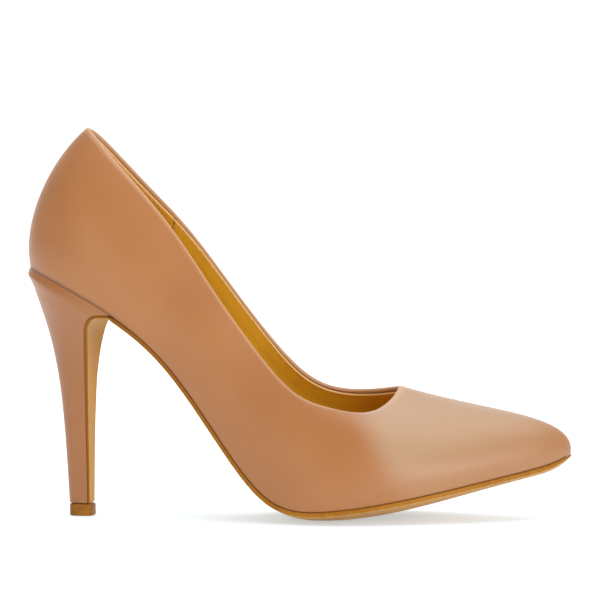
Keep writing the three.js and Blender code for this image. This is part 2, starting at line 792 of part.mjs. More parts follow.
function topLiftGeometry() {
  const outline = new THREE.Shape();
  const side = LIFT.half - LIFT.edge;
  const front = LIFT.front - LIFT.edge;
  const back = LIFT.back + LIFT.edge;
  outline.moveTo(back + LIFT.round, -side);
  outline.lineTo(front - LIFT.corner, -side);
  outline.quadraticCurveTo(front, -side, front, -side + LIFT.corner);
  outline.lineTo(front, side - LIFT.corner);
  outline.quadraticCurveTo(front, side, front - LIFT.corner, side);
  outline.lineTo(back + LIFT.round, side);
  outline.bezierCurveTo(back, side, back, -side, back + LIFT.round, -side);
  const geometry = new THREE.ExtrudeGeometry(outline, {
    depth: TOP_LIFT_HEIGHT - 2 * LIFT.edge,
    bevelSize: LIFT.edge,
    bevelThickness: LIFT.edge,
    bevelSegments: 2,
    curveSegments: 6,
  });
  geometry.deleteAttribute('normal');
  geometry.deleteAttribute('uv');
  geometry.translate(0, 0, LIFT.edge);
  geometry.rotateZ(-HEEL_SWING);
  geometry.translate(stemFoot.x, stemFoot.y, 0);
  return geometry;
}

const dowelHole = rod(DOWEL.radius + FIT_GAP, stemFoot, stemAxis, DOWEL.low - FIT_GAP, 2, 12);
addPart('top_lift', drill(topLiftGeometry(), [dowelHole]), 'tan_rubber');

// ---------------------------------------------------------------- outsole

const SOLE = { shank: 1.8, edge: 2.1, middle: 3.2, toeSkive: 0.4 };
const SOLE_START = 0.245;
const FLAP_GAP = 0.4;
const FLAP_ROWS = HEEL_STEPS - 1;
const TREAD_ROWS = 24;
const FLAP_SHARE = FLAP_ROWS / (FLAP_ROWS + TREAD_ROWS);
const FLAP_TOP = 1 / HEEL_STEPS;

// Thin along the shank and at its trimmed edge, thickest under the middle of the ball.
function soleThickness(along, across) {
  const ball = smooth(0.42, 0.54, along);
  const middle = smooth(0.02, 0.3, Math.min(across, 1 - across));
  const thickness = spread(SOLE.shank, SOLE.edge, ball) + (SOLE.middle - SOLE.edge) * ball * middle;
  return thickness * (1 - SOLE.toeSkive * smooth(0.85, 1, along));
}

// The flap runs up the hollow breast from the top lift to the tongue of the heel.
function flapPoint(up, across, face) {
  const down = spread(1, FLAP_TOP, up);
  const side = 2 * across - 1;
  const glued = breastPoint(down, side, heelBreast);
  const worn = breastPoint(down, side, flapFace);
  const gap = worn.clone().sub(glued).setLength(FLAP_GAP);
  return glued.add(gap).lerp(worn, face);
}

// Face 0 is the side glued to the shoe and face 1 is the worn side, flat where it treads.
function outsolePoint(run, across, face) {
  if (run < FLAP_SHARE) return flapPoint(run / FLAP_SHARE, across, face);
  const along = spread(SOLE_START, 1, (run - FLAP_SHARE) / (1 - FLAP_SHARE));
  const point = bottomPoint(along, across, 0, -face * soleThickness(along, across));
  point.z = Math.max(point.z, 0);
  return point;
}

addPart('outsole', bentBox([FLAP_ROWS + TREAD_ROWS, BREAST_STEPS, 1], outsolePoint), 'sole_leather');

export default shoe;
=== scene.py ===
import math
from functools import lru_cache

import bmesh
import bpy
from mathutils import Matrix, Vector


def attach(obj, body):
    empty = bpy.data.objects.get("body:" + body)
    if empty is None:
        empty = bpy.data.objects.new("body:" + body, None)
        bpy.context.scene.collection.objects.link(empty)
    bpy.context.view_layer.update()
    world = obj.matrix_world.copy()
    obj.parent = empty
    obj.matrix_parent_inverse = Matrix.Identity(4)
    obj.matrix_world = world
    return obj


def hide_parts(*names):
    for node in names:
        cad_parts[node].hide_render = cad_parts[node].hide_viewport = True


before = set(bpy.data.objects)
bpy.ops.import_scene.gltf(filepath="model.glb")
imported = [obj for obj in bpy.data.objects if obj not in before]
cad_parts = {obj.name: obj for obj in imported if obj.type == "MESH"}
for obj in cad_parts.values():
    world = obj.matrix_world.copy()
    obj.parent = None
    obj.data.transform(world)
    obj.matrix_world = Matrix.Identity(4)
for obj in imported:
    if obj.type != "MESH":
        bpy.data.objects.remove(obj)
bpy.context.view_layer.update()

# ---- Insole board and shank board ----
# Pressed fibre boards cut to the bottom of the last; the upper and its linings are lasted round
# them. The shank board stiffens the back half, under the heel and the arch.

NODE_SPACING = 220


class Recipe:
    """A material, made up node by node."""

    def __init__(self, name):
        self.material = bpy.data.materials.new(name)
        self.material.use_nodes = True
        self.tree = self.material.node_tree

    def add(self, kind, **values):
        return add_to(self.tree, kind, **values)

    def group(self, tree, **values):
        return self.add("Group", node_tree=tree, **values)

    def relief(self, strength, distance, height):
        bump = self.add("Bump", Strength=strength, Distance=distance, Height=height)
        return bump.outputs["Normal"]

    def finish(self, **values):
        fill_in(self.tree, self.tree.nodes["Principled BSDF"], values)
        return self.material


def add_to(tree, kind, **values):
    node = tree.nodes.new(f"ShaderNode{kind}")
    node.location = (-NODE_SPACING * len(tree.nodes), 0)
    return fill_in(tree, node, values)


def fill_in(tree, node, values):
    """Sets the settings of a node, links what comes from a socket and sets its other inputs."""
    for name, value in values.items():
        if hasattr(node, name) and name not in node.inputs:
            setattr(node, name, value)
        elif isinstance(value, bpy.types.NodeSocket):
            tree.links.new(value, find_input(node, name))
        else:
            find_input(node, name).default_value = value
    return node


def find_input(node, name):
    """By name, or by number where the node has several inputs of one name."""
    if name.startswith("input"):
        return node.inputs[int(name.removeprefix("input"))]
    return node.inputs[name.replace("_", " ")]


def shade(red, green, blue):
    """A colour as it is seen, turned into the shader's linear colour."""
    parts = [((part / 255 + 0.055) / 1.055) ** 2.4 for part in (red, green, blue)]
    return (*parts, 1.0)


def ramp(recipe, source, low, high, start=0.3, end=0.7):
    """A colour that eases from low to high as the source rises from start to end."""
    node = recipe.add("ValToRGB", Fac=source)
    node.color_ramp.interpolation = "EASE"
    for stop, place, colour in zip(node.color_ramp.elements, (start, end), (low, high)):
        stop.position = place
        stop.color = colour
    return node.outputs["Color"]


def new_group(name, inputs, outputs):
    """A shader node group, with what it is given and what it puts out."""
    tree = bpy.data.node_groups.new(name, "ShaderNodeTree")
    for label, value in inputs.items():
        socket = tree.interface.new_socket(label, in_out="INPUT", socket_type="NodeSocketFloat")
        socket.default_value = value
    for label in outputs:
        tree.interface.new_socket(label, in_out="OUTPUT", socket_type="NodeSocketFloat")
    return tree, tree.nodes.new("NodeGroupInput"), tree.nodes.new("NodeGroupOutput")


def fibre_group():
    inputs = {"Scale": 900.0, "Stretch": 6.0}
    tree, given, result = new_group("pressed_fibre", inputs, ("Mask", "Height"))
    place = add_to(tree, "TexCoord").outputs["Object"]
    stretch_and_painted_sheen = add_to(tree, "CombineXYZ", X=1.0, Y=given.outputs["Stretch"], Z=1.0)
    drawn = add_to(
        tree, "VectorMath", operation="MULTIPLY", input0=place, input1=stretch_and_painted_sheen.outputs[0]
    )
    fibres = add_to(
        tree, "TexNoise", Vector=drawn.outputs[0], Scale=given.outputs["Scale"],
        Detail=4.0, Roughness=0.6,
    )
    clouds = add_to(tree, "TexNoise", Vector=place, Scale=70.0, Detail=3.0)
    both = add_to(
        tree, "Math", operation="MULTIPLY_ADD",
        input0=fibres.outputs["Fac"], input1=0.6, input2=clouds.outputs["Fac"],
    )
    level = add_to(tree, "Math", operation="MULTIPLY", input0=both.outputs[0], input1=0.62)
    fill_in(tree, result, {"Mask": level.outputs[0], "Height": fibres.outputs["Fac"]})
    return tree


FIBRE = fibre_group()


def fibre_board():
    recipe = Recipe("fibre_board")
    fibre = recipe.group(FIBRE, Scale=1100.0, Stretch=4.0)
    colour = ramp(recipe, fibre.outputs["Mask"], shade(104, 82, 54), shade(156, 130, 94))
    normal = recipe.relief(strength=0.4, distance=0.0002, height=fibre.outputs["Height"])
    return recipe.finish(Base_Color=colour, Roughness=0.86, Normal=normal)


def coat_nodes(names, material):
    for name in names:
        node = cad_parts[name]
        node.data.materials.clear()
        node.data.materials.append(material)


coat_nodes(["insole_board", "shank_board"], fibre_board())

# ---- Steel shank, rivets, screw and nails ----
# A blued spring steel strip that holds the arch, clenched to the boards by two rivets; a screw
# and four nails are driven down through the boards and hold the heel. The pin in its stem and
# the dowel of the top lift are steel too.

SCRATCH_DULLING = 0.18


def steel_group():
    tree, given, result = new_group("drawn_steel", {"Scale": 700.0}, ("Mask", "Height"))
    place = add_to(tree, "TexCoord").outputs["Object"]
    lines = add_to(tree, "Mapping", Vector=place, Scale=(0.15, 1.0, 0.3))
    scratches = add_to(
        tree, "TexNoise", Vector=lines.outputs[0], Scale=given.outputs["Scale"], Detail=3.0
    )
    stains = add_to(tree, "TexNoise", Vector=place, Scale=120.0, Detail=4.0)
    fill_in(tree, result, {"Mask": stains.outputs["Fac"], "Height": scratches.outputs["Fac"]})
    return tree


STEEL = steel_group()


def steel(name, dark, light, roughness):
    recipe = Recipe(name)
    marks = recipe.group(STEEL, Scale=900.0)
    colour = ramp(recipe, marks.outputs["Mask"], dark, light, start=0.35, end=0.65)
    rough = recipe.add(
        "MapRange", Value=marks.outputs["Height"],
        To_Min=roughness, To_Max=roughness + SCRATCH_DULLING,
    )
    normal = recipe.relief(strength=0.15, distance=0.0001, height=marks.outputs["Height"])
    return recipe.finish(
        Base_Color=colour, Metallic=1.0, Roughness=rough.outputs["Result"], Normal=normal
    )


coat_nodes(
    ["steel_shank", "heel_pin"],
    steel("blued_steel", dark=shade(74, 80, 92), light=shade(126, 130, 138), roughness=0.34),
)
coat_nodes(
    ["heel_screw", "shank_rivet_front", "shank_rivet_rear", "top_lift_dowel"]
    + [f"heel_nail_{i}" for i in range(1, 5)],
    steel("bright_steel", dark=shade(150, 152, 156), light=shade(196, 198, 202), roughness=0.26),
)

# ---- Bottom filler, heel pad and forefoot cushion ----
# Ground cork in latex levels the hollow between the lasting margins. The two pads are latex foam,
# laid on the boards under the sock lining, crowned in the middle and skived thin at the edge.

LAST_CENTRE = Vector((-0.0009, -0.0011, 0.0))
# Each wall line starts on the feather edge of the sole, swells out by its two middle handles and
# ends on the topline. The lines go round from the back seam, by the outer side and the toe.
WALL_LINES = {
    "back": ((-0.1088, 0.0003, 0.1002), (-0.1124, 0.0003, 0.118),
             (-0.1015, 0.0003, 0.143), (-0.0856, 0.0005, 0.1562)),
    "back_out": ((-0.1045, -0.011, 0.0982), (-0.108, -0.0135, 0.116),
                 (-0.098, -0.011, 0.14), (-0.0825, -0.0065, 0.1537)),
    "heel_out": ((-0.091, -0.021, 0.0916), (-0.0925, -0.027, 0.109),
                 (-0.086, -0.0225, 0.131), (-0.074, -0.0132, 0.1448)),
    "seat_out": ((-0.07, -0.0252, 0.0794), (-0.0695, -0.032, 0.096),
                 (-0.066, -0.0265, 0.116), (-0.0605, -0.0188, 0.1303)),
    "arch_out": ((-0.049, -0.0242, 0.06), (-0.049, -0.031, 0.076),
                 (-0.047, -0.0275, 0.096), (-0.046, -0.0215, 0.1125)),
    "shank_out": ((-0.028, -0.0263, 0.0308), (-0.028, -0.0325, 0.047),
                  (-0.029, -0.029, 0.07), (-0.031, -0.024, 0.0905)),
    "waist_out": ((-0.0085, -0.0312, 0.009), (-0.0085, -0.0365, 0.022),
                  (-0.012, -0.031, 0.048), (-0.016, -0.0253, 0.0698)),
    "joint_out": ((0.013, -0.0368, 0.0056), (0.0115, -0.041, 0.015),
                  (0.006, -0.034, 0.035), (-0.001, -0.027, 0.053)),
    "ball_out": ((0.037, -0.0342, 0.0088), (0.0365, -0.0385, 0.019),
                 (0.027, -0.0335, 0.036), (0.0125, -0.027, 0.0465)),
    "toe_out": ((0.06, -0.0269, 0.0134), (0.06, -0.031, 0.024),
                (0.043, -0.028, 0.0375), (0.024, -0.024, 0.044)),
    "tip_out": ((0.083, -0.0163, 0.0185), (0.084, -0.0205, 0.031),
                (0.056, -0.019, 0.0415), (0.032, -0.016, 0.0448)),
    "nose_out": ((0.101, -0.0066, 0.023), (0.103, -0.009, 0.0385),
                 (0.069, -0.01, 0.043), (0.0374, -0.0075, 0.0489)),
    "nose": ((0.1082, 0.001, 0.0262), (0.111, 0.001, 0.043),
             (0.072, 0.001, 0.0428), (0.0396, 0.0005, 0.0526)),
    "nose_in": ((0.103, 0.0072, 0.0234), (0.1045, 0.0096, 0.0385),
                (0.07, 0.011, 0.0435), (0.0382, 0.008, 0.0526)),
    "tip_in": ((0.086, 0.0152, 0.0192), (0.0865, 0.0195, 0.032),
               (0.059, 0.02, 0.0438), (0.033, 0.0148, 0.0515)),
    "toe_in": ((0.063, 0.0256, 0.014), (0.0625, 0.03, 0.025),
               (0.046, 0.0275, 0.0425), (0.0245, 0.0218, 0.0504)),
    "ball_in": ((0.038, 0.0334, 0.009), (0.037, 0.038, 0.02),
                (0.028, 0.0335, 0.041), (0.0125, 0.025, 0.051)),
    "joint_in": ((0.013, 0.0312, 0.0062), (0.012, 0.0365, 0.018),
                 (0.006, 0.0325, 0.042), (-0.001, 0.024, 0.0578)),
    "waist_in": ((-0.0085, 0.022, 0.0105), (-0.0085, 0.029, 0.026),
                 (-0.012, 0.0275, 0.055), (-0.0165, 0.0223, 0.0748)),
    "shank_in": ((-0.028, 0.0168, 0.0332), (-0.028, 0.025, 0.051),
                 (-0.03, 0.0245, 0.076), (-0.0315, 0.021, 0.0946)),
    "arch_in": ((-0.049, 0.0164, 0.0622), (-0.049, 0.025, 0.079),
                (-0.048, 0.0235, 0.099), (-0.0465, 0.0193, 0.1146)),
    "seat_in": ((-0.07, 0.0206, 0.0806), (-0.0695, 0.029, 0.097),
                (-0.066, 0.025, 0.1175), (-0.0605, 0.0176, 0.13)),
    "heel_in": ((-0.091, 0.0196, 0.092), (-0.0925, 0.026, 0.1095),
                (-0.086, 0.022, 0.1315), (-0.074, 0.013, 0.1448)),
    "back_in": ((-0.1045, 0.0108, 0.0984), (-0.108, 0.0135, 0.1165),
                (-0.098, 0.0112, 0.1405), (-0.0825, 0.007, 0.1539)),
}
# The bottom of the last is crowned by this much where it is this wide.
CROWN_DROP = 0.0036
CROWN_WIDTH = 0.071
# A short step round the shoe, for finding slopes.
TINY_TURN = 0.001
END_TURN = 0.03
LEAST_WIDTH = 0.001
RING_PASSES = 60
PAD_EDGE = 0.0052
PAD_SKIVED = 0.0006
PAD_CROWN = 0.35
PAD_ROWS = 16
MERGE_REACH = 1e-7
LEAST_EDGE = 1e-8


def spread(low, high, share):
    return low + (high - low) * share


def ring_through(points):
    """The controls of a closed smooth line that passes through the points."""
    controls = [point.copy() for point in points]
    for _ in range(RING_PASSES):
        controls = [
            (6 * point - controls[i - 1] - controls[(i + 1) % len(points)]) / 4
            for i, point in enumerate(points)
        ]
    return controls


RINGS = [
    ring_through([Vector(point) - LAST_CENTRE for point in ring])
    for ring in zip(*WALL_LINES.values())
]


# turn is 0 at the back seam, 0.25 outside, 0.5 at the toe and 0.75 inside.
def ring_point(controls, turn):
    place = (turn % 1.0) * len(controls)
    first = int(place)
    part = place - first
    rest = 1 - part
    weights = (
        rest ** 3,
        3 * part ** 3 - 6 * part ** 2 + 4,
        -3 * part ** 3 + 3 * part ** 2 + 3 * part + 1,
        part ** 3,
    )
    point = Vector()
    for i, weight in enumerate(weights):
        point += controls[(first + i - 1) % len(controls)] * (weight / 6)
    return point


@lru_cache(maxsize=None)
def wall_handles(turn):
    return tuple(ring_point(controls, turn) for controls in RINGS)


def feather_point(turn):
    return wall_handles(turn)[0]


@lru_cache(maxsize=None)
def bottom_normal(turn):
    """Square to the bottom of the last; the tilt stays the same in its last stretch at each end."""
    half = min(max(min(turn % 1.0, 1 - turn % 1.0), END_TURN), 0.5 - END_TURN)
    ahead = feather_point(half + TINY_TURN) + feather_point(1 - half - TINY_TURN)
    behind = feather_point(half - TINY_TURN) + feather_point(1 - half + TINY_TURN)
    across = feather_point(1 - half) - feather_point(half)
    return (ahead - behind).cross(across).normalized()


def crown_drop(turn, inset):
    """How far the crowned bottom hangs below the line from edge to edge."""
    width = (feather_point(turn) - feather_point(1 - turn)).length
    share = min(inset / max(width, LEAST_WIDTH), 0.5)
    return CROWN_DROP * (width / CROWN_WIDTH) ** 2 * 4 * share * (1 - share)


def margin_point(turn, inset, height):
    """A point in from the feather edge, and up from the bottom of the last."""
    place = turn % 1.0
    normal = bottom_normal(place)
    tangent = (feather_point(place + TINY_TURN) - feather_point(place - TINY_TURN)).normalized()
    inward = normal.cross(tangent)
    return feather_point(place) + inward * inset + normal * (height - crown_drop(place, inset))


# along is 0 at the back of the seat and 1 at the toe tip; across is 0 outside and 1 inside.
def bottom_point(along, across, inset, height):
    turn = along / 2
    outer = margin_point(turn, inset, height)
    inner = margin_point(1 - turn, inset, height)
    width = (feather_point(turn) - feather_point(1 - turn)).length
    reach = inset + min(across, 1 - across) * (width - 2 * inset)
    lift = crown_drop(turn, inset) - crown_drop(turn, reach)
    return outer.lerp(inner, across) + bottom_normal(turn) * lift


def foam(name, light, dark):
    recipe = Recipe(name)
    place = recipe.add("TexCoord").outputs["Object"]
    cells = recipe.add("TexVoronoi", Vector=place, Scale=1400.0)
    clouds = recipe.add("TexNoise", Vector=place, Scale=90.0, Detail=4.0)
    colour = ramp(recipe, clouds.outputs["Fac"], dark, light)
    normal = recipe.relief(strength=0.5, distance=0.0002, height=cells.outputs["Distance"])
    return recipe.finish(Base_Color=colour, Roughness=0.95, Normal=normal)


def thick_sheet(columns, rows, front, back):
    """A sheet with a thickness; front and back say where each corner of its two faces lies."""
    mesh = bmesh.new()
    column_layer = mesh.verts.layers.float.new("column")
    row_layer = mesh.verts.layers.float.new("row")
    depth_layer = mesh.verts.layers.float.new("depth")
    bmesh.ops.create_grid(mesh, x_segments=columns, y_segments=rows, size=1.0)
    for corner in mesh.verts:
        corner[column_layer] = (corner.co.x + 1) / 2
        corner[row_layer] = (corner.co.y + 1) / 2
    grown = bmesh.ops.extrude_face_region(mesh, geom=list(mesh.faces), use_keep_orig=True)
    behind = {part for part in grown["geom"] if isinstance(part, bmesh.types.BMVert)}
    for corner in mesh.verts:
        place = back if corner in behind else front
        corner[depth_layer] = 1.0 if corner in behind else 0.0
        corner.co = place(corner[column_layer], corner[row_layer])
    bmesh.ops.remove_doubles(mesh, verts=mesh.verts, dist=MERGE_REACH)
    bmesh.ops.dissolve_degenerate(mesh, edges=mesh.edges, dist=LEAST_EDGE)
    bmesh.ops.recalc_face_normals(mesh, faces=mesh.faces)
    return mesh


def round_edges(mesh, width, segments=2, sharper_than=0.8, chosen=None):
    edges = [
        edge for edge in mesh.edges
        if edge.is_manifold and edge.calc_face_angle() > sharper_than
    ]
    if chosen:
        edges = [edge for edge in edges if chosen(edge)]
    bmesh.ops.bevel(
        mesh, geom=edges, offset=width, segments=segments,
        profile=0.5, affect="EDGES", material=-1,
    )


def make_piece(name, mesh, materials, slot, *nodes):
    for face in mesh.faces:
        face.smooth = True
    data = bpy.data.meshes.new(name)
    mesh.to_mesh(data)
    mesh.free()
    piece = bpy.data.objects.new(name, data)
    bpy.context.scene.collection.objects.link(piece)
    for material in materials:
        data.materials.append(material)
    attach(piece, "root")
    if nodes:
        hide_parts(*nodes)
    return piece


def bulge(share):
    """0 at both edges of a pad and 1 in its middle."""
    return (4 * share * (1 - share)) ** PAD_CROWN


def make_pad(name, node, start, end, low, high):
    def lower(column, row):
        return bottom_point(spread(start, end, column), row, PAD_EDGE, low)

    def crowned(column, row):
        height = spread(low + PAD_SKIVED, high, bulge(column) * bulge(row))
        return bottom_point(spread(start, end, column), row, PAD_EDGE, height)

    mesh = thick_sheet(2 * PAD_ROWS, PAD_ROWS, lower, crowned)
    latex = foam(f"{name}_foam", light=shade(236, 224, 192), dark=shade(214, 198, 158))
    piece = make_piece(name, mesh, [latex], "foam", node)


make_pad(
    "heel_foam_pad", "heel_pad", start=0.03, end=0.27, low=0.0046, high=0.0064
)
make_pad(
    "forefoot_foam_pad", "forefoot_cushion",
    start=0.58, end=0.86, low=0.0034, high=0.0052,
)
coat_nodes(
    ["bottom_filler"], foam("cork_filler", light=shade(178, 140, 96), dark=shade(130, 94, 60))
)

# ---- Toe puff, heel counter and edge tape ----
# Stiff non-woven sheet moulded over the last behind the upper at the toe and the back, and a
# narrow woven tape that keeps the topline from stretching.


def stiff_sheet():
    recipe = Recipe("stiffener_sheet")
    fibre = recipe.group(FIBRE, Scale=1600.0, Stretch=1.0)
    colour = ramp(recipe, fibre.outputs["Mask"], shade(198, 190, 172), shade(226, 220, 206))
    normal = recipe.relief(strength=0.35, distance=0.0002, height=fibre.outputs["Height"])
    return recipe.finish(Base_Color=colour, Roughness=0.8, Normal=normal)


coat_nodes(["toe_puff", "heel_counter", "topline_tape"], stiff_sheet())

# ---- Linings ----
# Thin gold lining leather in two pieces: the heel grip runs round the back to a seam at the
# arch on each side, and the vamp lining runs from there round the toe. The cut top edge is
# left showing a little below the turned edge of the upper.

LINING_THICKNESS = 0.0008
LINING_DROP = 0.0014
LINING_FOOT = 0.05
SEAM_TURN = 3.6 / 24
SEAM_GAP = 0.0006
GRIP_RIBS = 140.0
LINING_ROWS = 26
LINING_ROUND = 0.00022
EDGE_ROWS = 0.9
BEHIND_UPPER = 0.0014
# The lining stands off by the stiff pieces behind it, which thin out between these two turns
# from the toe or the back, and between these two rises.
PUFF_TURNS = (4 / 48 + 0.022, 4 / 48 + 0.045)
PUFF_RISES = (0.61, 0.74)
PUFF_THICKNESS = 0.001
COUNTER_TURNS = (6 / 48 + 0.022, 6 / 48 + 0.04)
COUNTER_RISES = (0.73, 0.83)
COUNTER_THICKNESS = 0.0013
TAPE_RISES = (0.74, 0.85)
TAPE_THICKNESS = 0.0006


def smooth_step(low, high, value):
    share = min(max((value - low) / (high - low), 0.0), 1.0)
    return share * share * (3 - 2 * share)


def smooth_fall(low, high, value):
    return 1 - smooth_step(low, high, value)


# rise is 0 at the feather edge of the sole and 1 at the topline.
def wall_point(turn, rise):
    feather, swell, shoulder, topline = wall_handles(turn)
    rest = 1 - rise
    low = feather * rest ** 3 + swell * (3 * rest ** 2 * rise)
    return low + shoulder * (3 * rest * rise ** 2) + topline * rise ** 3


def wall_slope(turn, rise):
    feather, swell, shoulder, topline = wall_handles(turn)
    rest = 1 - rise
    low = (swell - feather) * (3 * rest ** 2)
    return low + (shoulder - swell) * (6 * rest * rise) + (topline - shoulder) * (3 * rise ** 2)


def wall_normal(turn, rise):
    along = wall_point(turn + TINY_TURN, rise) - wall_point(turn - TINY_TURN, rise)
    return along.cross(wall_slope(turn, rise)).normalized()


def wall_layer(turn, rise, depth):
    """A point of the wall, moved in by the depth."""
    return wall_point(turn, rise) - wall_normal(turn, rise) * depth


def topline_speed(turn):
    return wall_slope(turn, 1.0).length


def lining_top(turn):
    return 1 - LINING_DROP / topline_speed(turn)


def lining_depth(turn, rise):
    to_toe = abs(turn % 1.0 - 0.5)
    to_back = 0.5 - to_toe
    puff = smooth_fall(*PUFF_TURNS, to_toe) * smooth_fall(*PUFF_RISES, rise)
    counter = smooth_fall(*COUNTER_TURNS, to_back) * smooth_fall(*COUNTER_RISES, rise)
    tape = smooth_step(*TAPE_RISES, rise)
    return BEHIND_UPPER + max(
        puff * PUFF_THICKNESS, counter * COUNTER_THICKNESS, tape * TAPE_THICKNESS
    )


def grain_group():
    inputs = {"Scale": 1500.0, "Creases": 0.3}
    tree, given, result = new_group("leather_grain", inputs, ("Height", "Pores", "Clouds"))
    place = add_to(tree, "TexCoord").outputs["Object"]
    waver = add_to(tree, "TexNoise", Vector=place, Scale=260.0, Detail=2.0)
    bend = add_to(
        tree, "VectorMath", operation="SCALE", input0=waver.outputs["Color"], Scale=0.0012
    )
    bent = add_to(tree, "VectorMath", operation="ADD", input0=place, input1=bend.outputs[0])
    cells = add_to(
        tree, "TexVoronoi", feature="DISTANCE_TO_EDGE",
        Vector=bent.outputs[0], Scale=given.outputs["Scale"],
    )
    rounded = add_to(
        tree, "MapRange", interpolation_type="SMOOTHSTEP",
        Value=cells.outputs["Distance"], From_Max=0.35,
    )
    fine = add_to(tree, "TexNoise", Vector=place, Scale=4200.0, Detail=3.0, Roughness=0.6)
    creases = add_to(tree, "TexNoise", Vector=place, Scale=190.0, Detail=5.0, Roughness=0.55)
    clouds = add_to(tree, "TexNoise", Vector=place, Scale=26.0, Detail=4.0, Roughness=0.5)
    mixed = add_to(
        tree, "Math", operation="MULTIPLY_ADD",
        input0=fine.outputs["Fac"], input1=0.35, input2=rounded.outputs["Result"],
    )
    deep = add_to(
        tree, "Math", operation="MULTIPLY_ADD",
        input0=creases.outputs["Fac"], input1=given.outputs["Creases"], input2=mixed.outputs[0],
    )
    fill_in(tree, result, {
        "Height": deep.outputs[0],
        "Pores": rounded.outputs["Result"],
        "Clouds": clouds.outputs["Fac"],
    })
    return tree


GRAIN = grain_group()


def blend(recipe, share, start, end):
    """The start colour where the share is 0, going over to the end colour where it is 1."""
    # The colours of a Mix node are its inputs 6 and 7 and its output 2.
    node = recipe.add("Mix", data_type="RGBA", input0=share, input6=start, input7=end)
    return node.outputs[2]


def marked(recipe, name):
    """The value that each corner of the mesh carries under this name."""
    return recipe.add("Attribute", attribute_name=name).outputs["Fac"]


def gold_lining(name, ribs):
    recipe = Recipe(name)
    grain = recipe.group(GRAIN, Scale=1100.0, Creases=0.8)
    run = marked(recipe, "column")
    turns = recipe.add("Math", operation="MULTIPLY", input0=run, input1=math.tau * ribs)
    wave = recipe.add("Math", operation="SINE", input0=turns.outputs[0])
    relief = recipe.add(
        "Math", operation="MULTIPLY_ADD",
        input0=wave.outputs[0], input1=0.5, input2=grain.outputs["Height"],
    )
    tone = ramp(recipe, grain.outputs["Clouds"], shade(208, 154, 32), shade(228, 176, 48))
    # Paler at the cut top edge: raw leather with a painted highlight.
    colour = blend(recipe, marked(recipe, "cut_edge"), tone, shade(238, 190, 120))
    rough = recipe.add("MapRange", Value=grain.outputs["Pores"], To_Min=0.56, To_Max=0.44)
    normal = recipe.relief(strength=0.3, distance=0.0001, height=relief.outputs[0])
    return recipe.finish(
        Base_Color=colour, Roughness=rough.outputs["Result"], Normal=normal,
        Coat_Weight=0.04, Coat_Roughness=0.4, Specular_IOR_Level=0.3,
    )


GOLD = gold_lining("gold_lining", ribs=0.0)
RIBBED_GOLD = gold_lining("ribbed_gold_lining", ribs=GRIP_RIBS)


def mark_top_edge(mesh):
    """How near each point lies to the cut top edge, for the paler raw leather and the painted
    highlight there.
    """
    row_layer = mesh.verts.layers.float["row"]
    pale = mesh.verts.layers.float.new("cut_edge")
    for corner in mesh.verts:
        corner[pale] = smooth_step(1 - EDGE_ROWS / LINING_ROWS, 1.0, corner[row_layer])


def lining_piece(name, node, material, start, end, columns):
    def place(column, row, depth):
        turn = spread(start, end, column)
        rise = spread(LINING_FOOT, lining_top(turn), row)
        return wall_layer(turn, rise, lining_depth(turn, rise) + depth)

    mesh = thick_sheet(
        columns, LINING_ROWS,
        lambda column, row: place(column, row, LINING_THICKNESS),
        lambda column, row: place(column, row, 0.0),
    )
    mark_top_edge(mesh)
    round_edges(mesh, LINING_ROUND)
    make_piece(name, mesh, [material], "gold_lining", node)


lining_piece(
    "vamp_lining_leather", "vamp_lining", GOLD,
    start=SEAM_TURN + SEAM_GAP, end=1 - SEAM_TURN - SEAM_GAP, columns=240,
)
lining_piece(
    "heel_grip_leather", "heel_grip", RIBBED_GOLD, start=-SEAM_TURN, end=SEAM_TURN, columns=130
)

# ---- Lining stitches ----
# Tan thread: one row holds the cut top edge of the lining to the turned edge of the upper, and
# one row closes each side seam of the lining.

EDGE_STITCHES = 210
SEAM_STITCHES = 20
STITCH_HALF = (0.0009, 0.00015, 0.00014)
STITCH_DROP = 0.0009
BESIDE_SEAM = 0.0024


def add_stitch(mesh, turn, rise, down_the_wall):
    """One small long grain of thread, half sunk in the lining."""
    place = wall_layer(turn, rise, lining_depth(turn, rise) + LINING_THICKNESS)
    inward = -wall_normal(turn, rise)
    round_the_shoe = wall_point(turn + TINY_TURN, rise) - wall_point(turn - TINY_TURN, rise)
    run = wall_slope(turn, rise).normalized() if down_the_wall else round_the_shoe.normalized()
    across = inward.cross(run)
    half_run, half_across, half_high = STITCH_HALF
    shape = Matrix((run * half_run, across * half_across, inward * half_high)).transposed().to_4x4()
    bmesh.ops.create_uvsphere(
        mesh, u_segments=8, v_segments=5, radius=1.0, matrix=Matrix.Translation(place) @ shape
    )


def lining_stitches():
    mesh = bmesh.new()
    for i in range(EDGE_STITCHES):
        turn = i / EDGE_STITCHES
        rise = lining_top(turn) - STITCH_DROP / topline_speed(turn)
        add_stitch(mesh, turn, rise, down_the_wall=False)
    for turn in (SEAM_TURN + BESIDE_SEAM, 1 - SEAM_TURN - BESIDE_SEAM):
        for i in range(1, SEAM_STITCHES):
            rise = spread(2 * LINING_FOOT, lining_top(turn), i / SEAM_STITCHES)
            add_stitch(mesh, turn, rise, down_the_wall=True)
    bmesh.ops.recalc_face_normals(mesh, faces=mesh.faces)
    return mesh


def tan_thread():
    recipe = Recipe("tan_thread")
    fibre = recipe.group(FIBRE, Scale=5200.0, Stretch=3.0)
    colour = ramp(recipe, fibre.outputs["Mask"], shade(186, 130, 42), shade(214, 160, 74))
    normal = recipe.relief(strength=0.4, distance=0.0001, height=fibre.outputs["Height"])
    return recipe.finish(Base_Color=colour, Roughness=0.7, Normal=normal)


make_piece("lining_stitches", lining_stitches(), [tan_thread()], "gold_lining")

# ---- Upper ----
# One smooth nude leather shell, lasted over the lining: the topline is skived and turned in
# over itself, and the bottom edge is pulled under the insole board as the lasting margin.

BREAST_TURN = 2.857 / 24
UPPER_THICKNESS = 0.0011
FOLD_RADIUS = 0.0008
FOLD_ROWS = 8
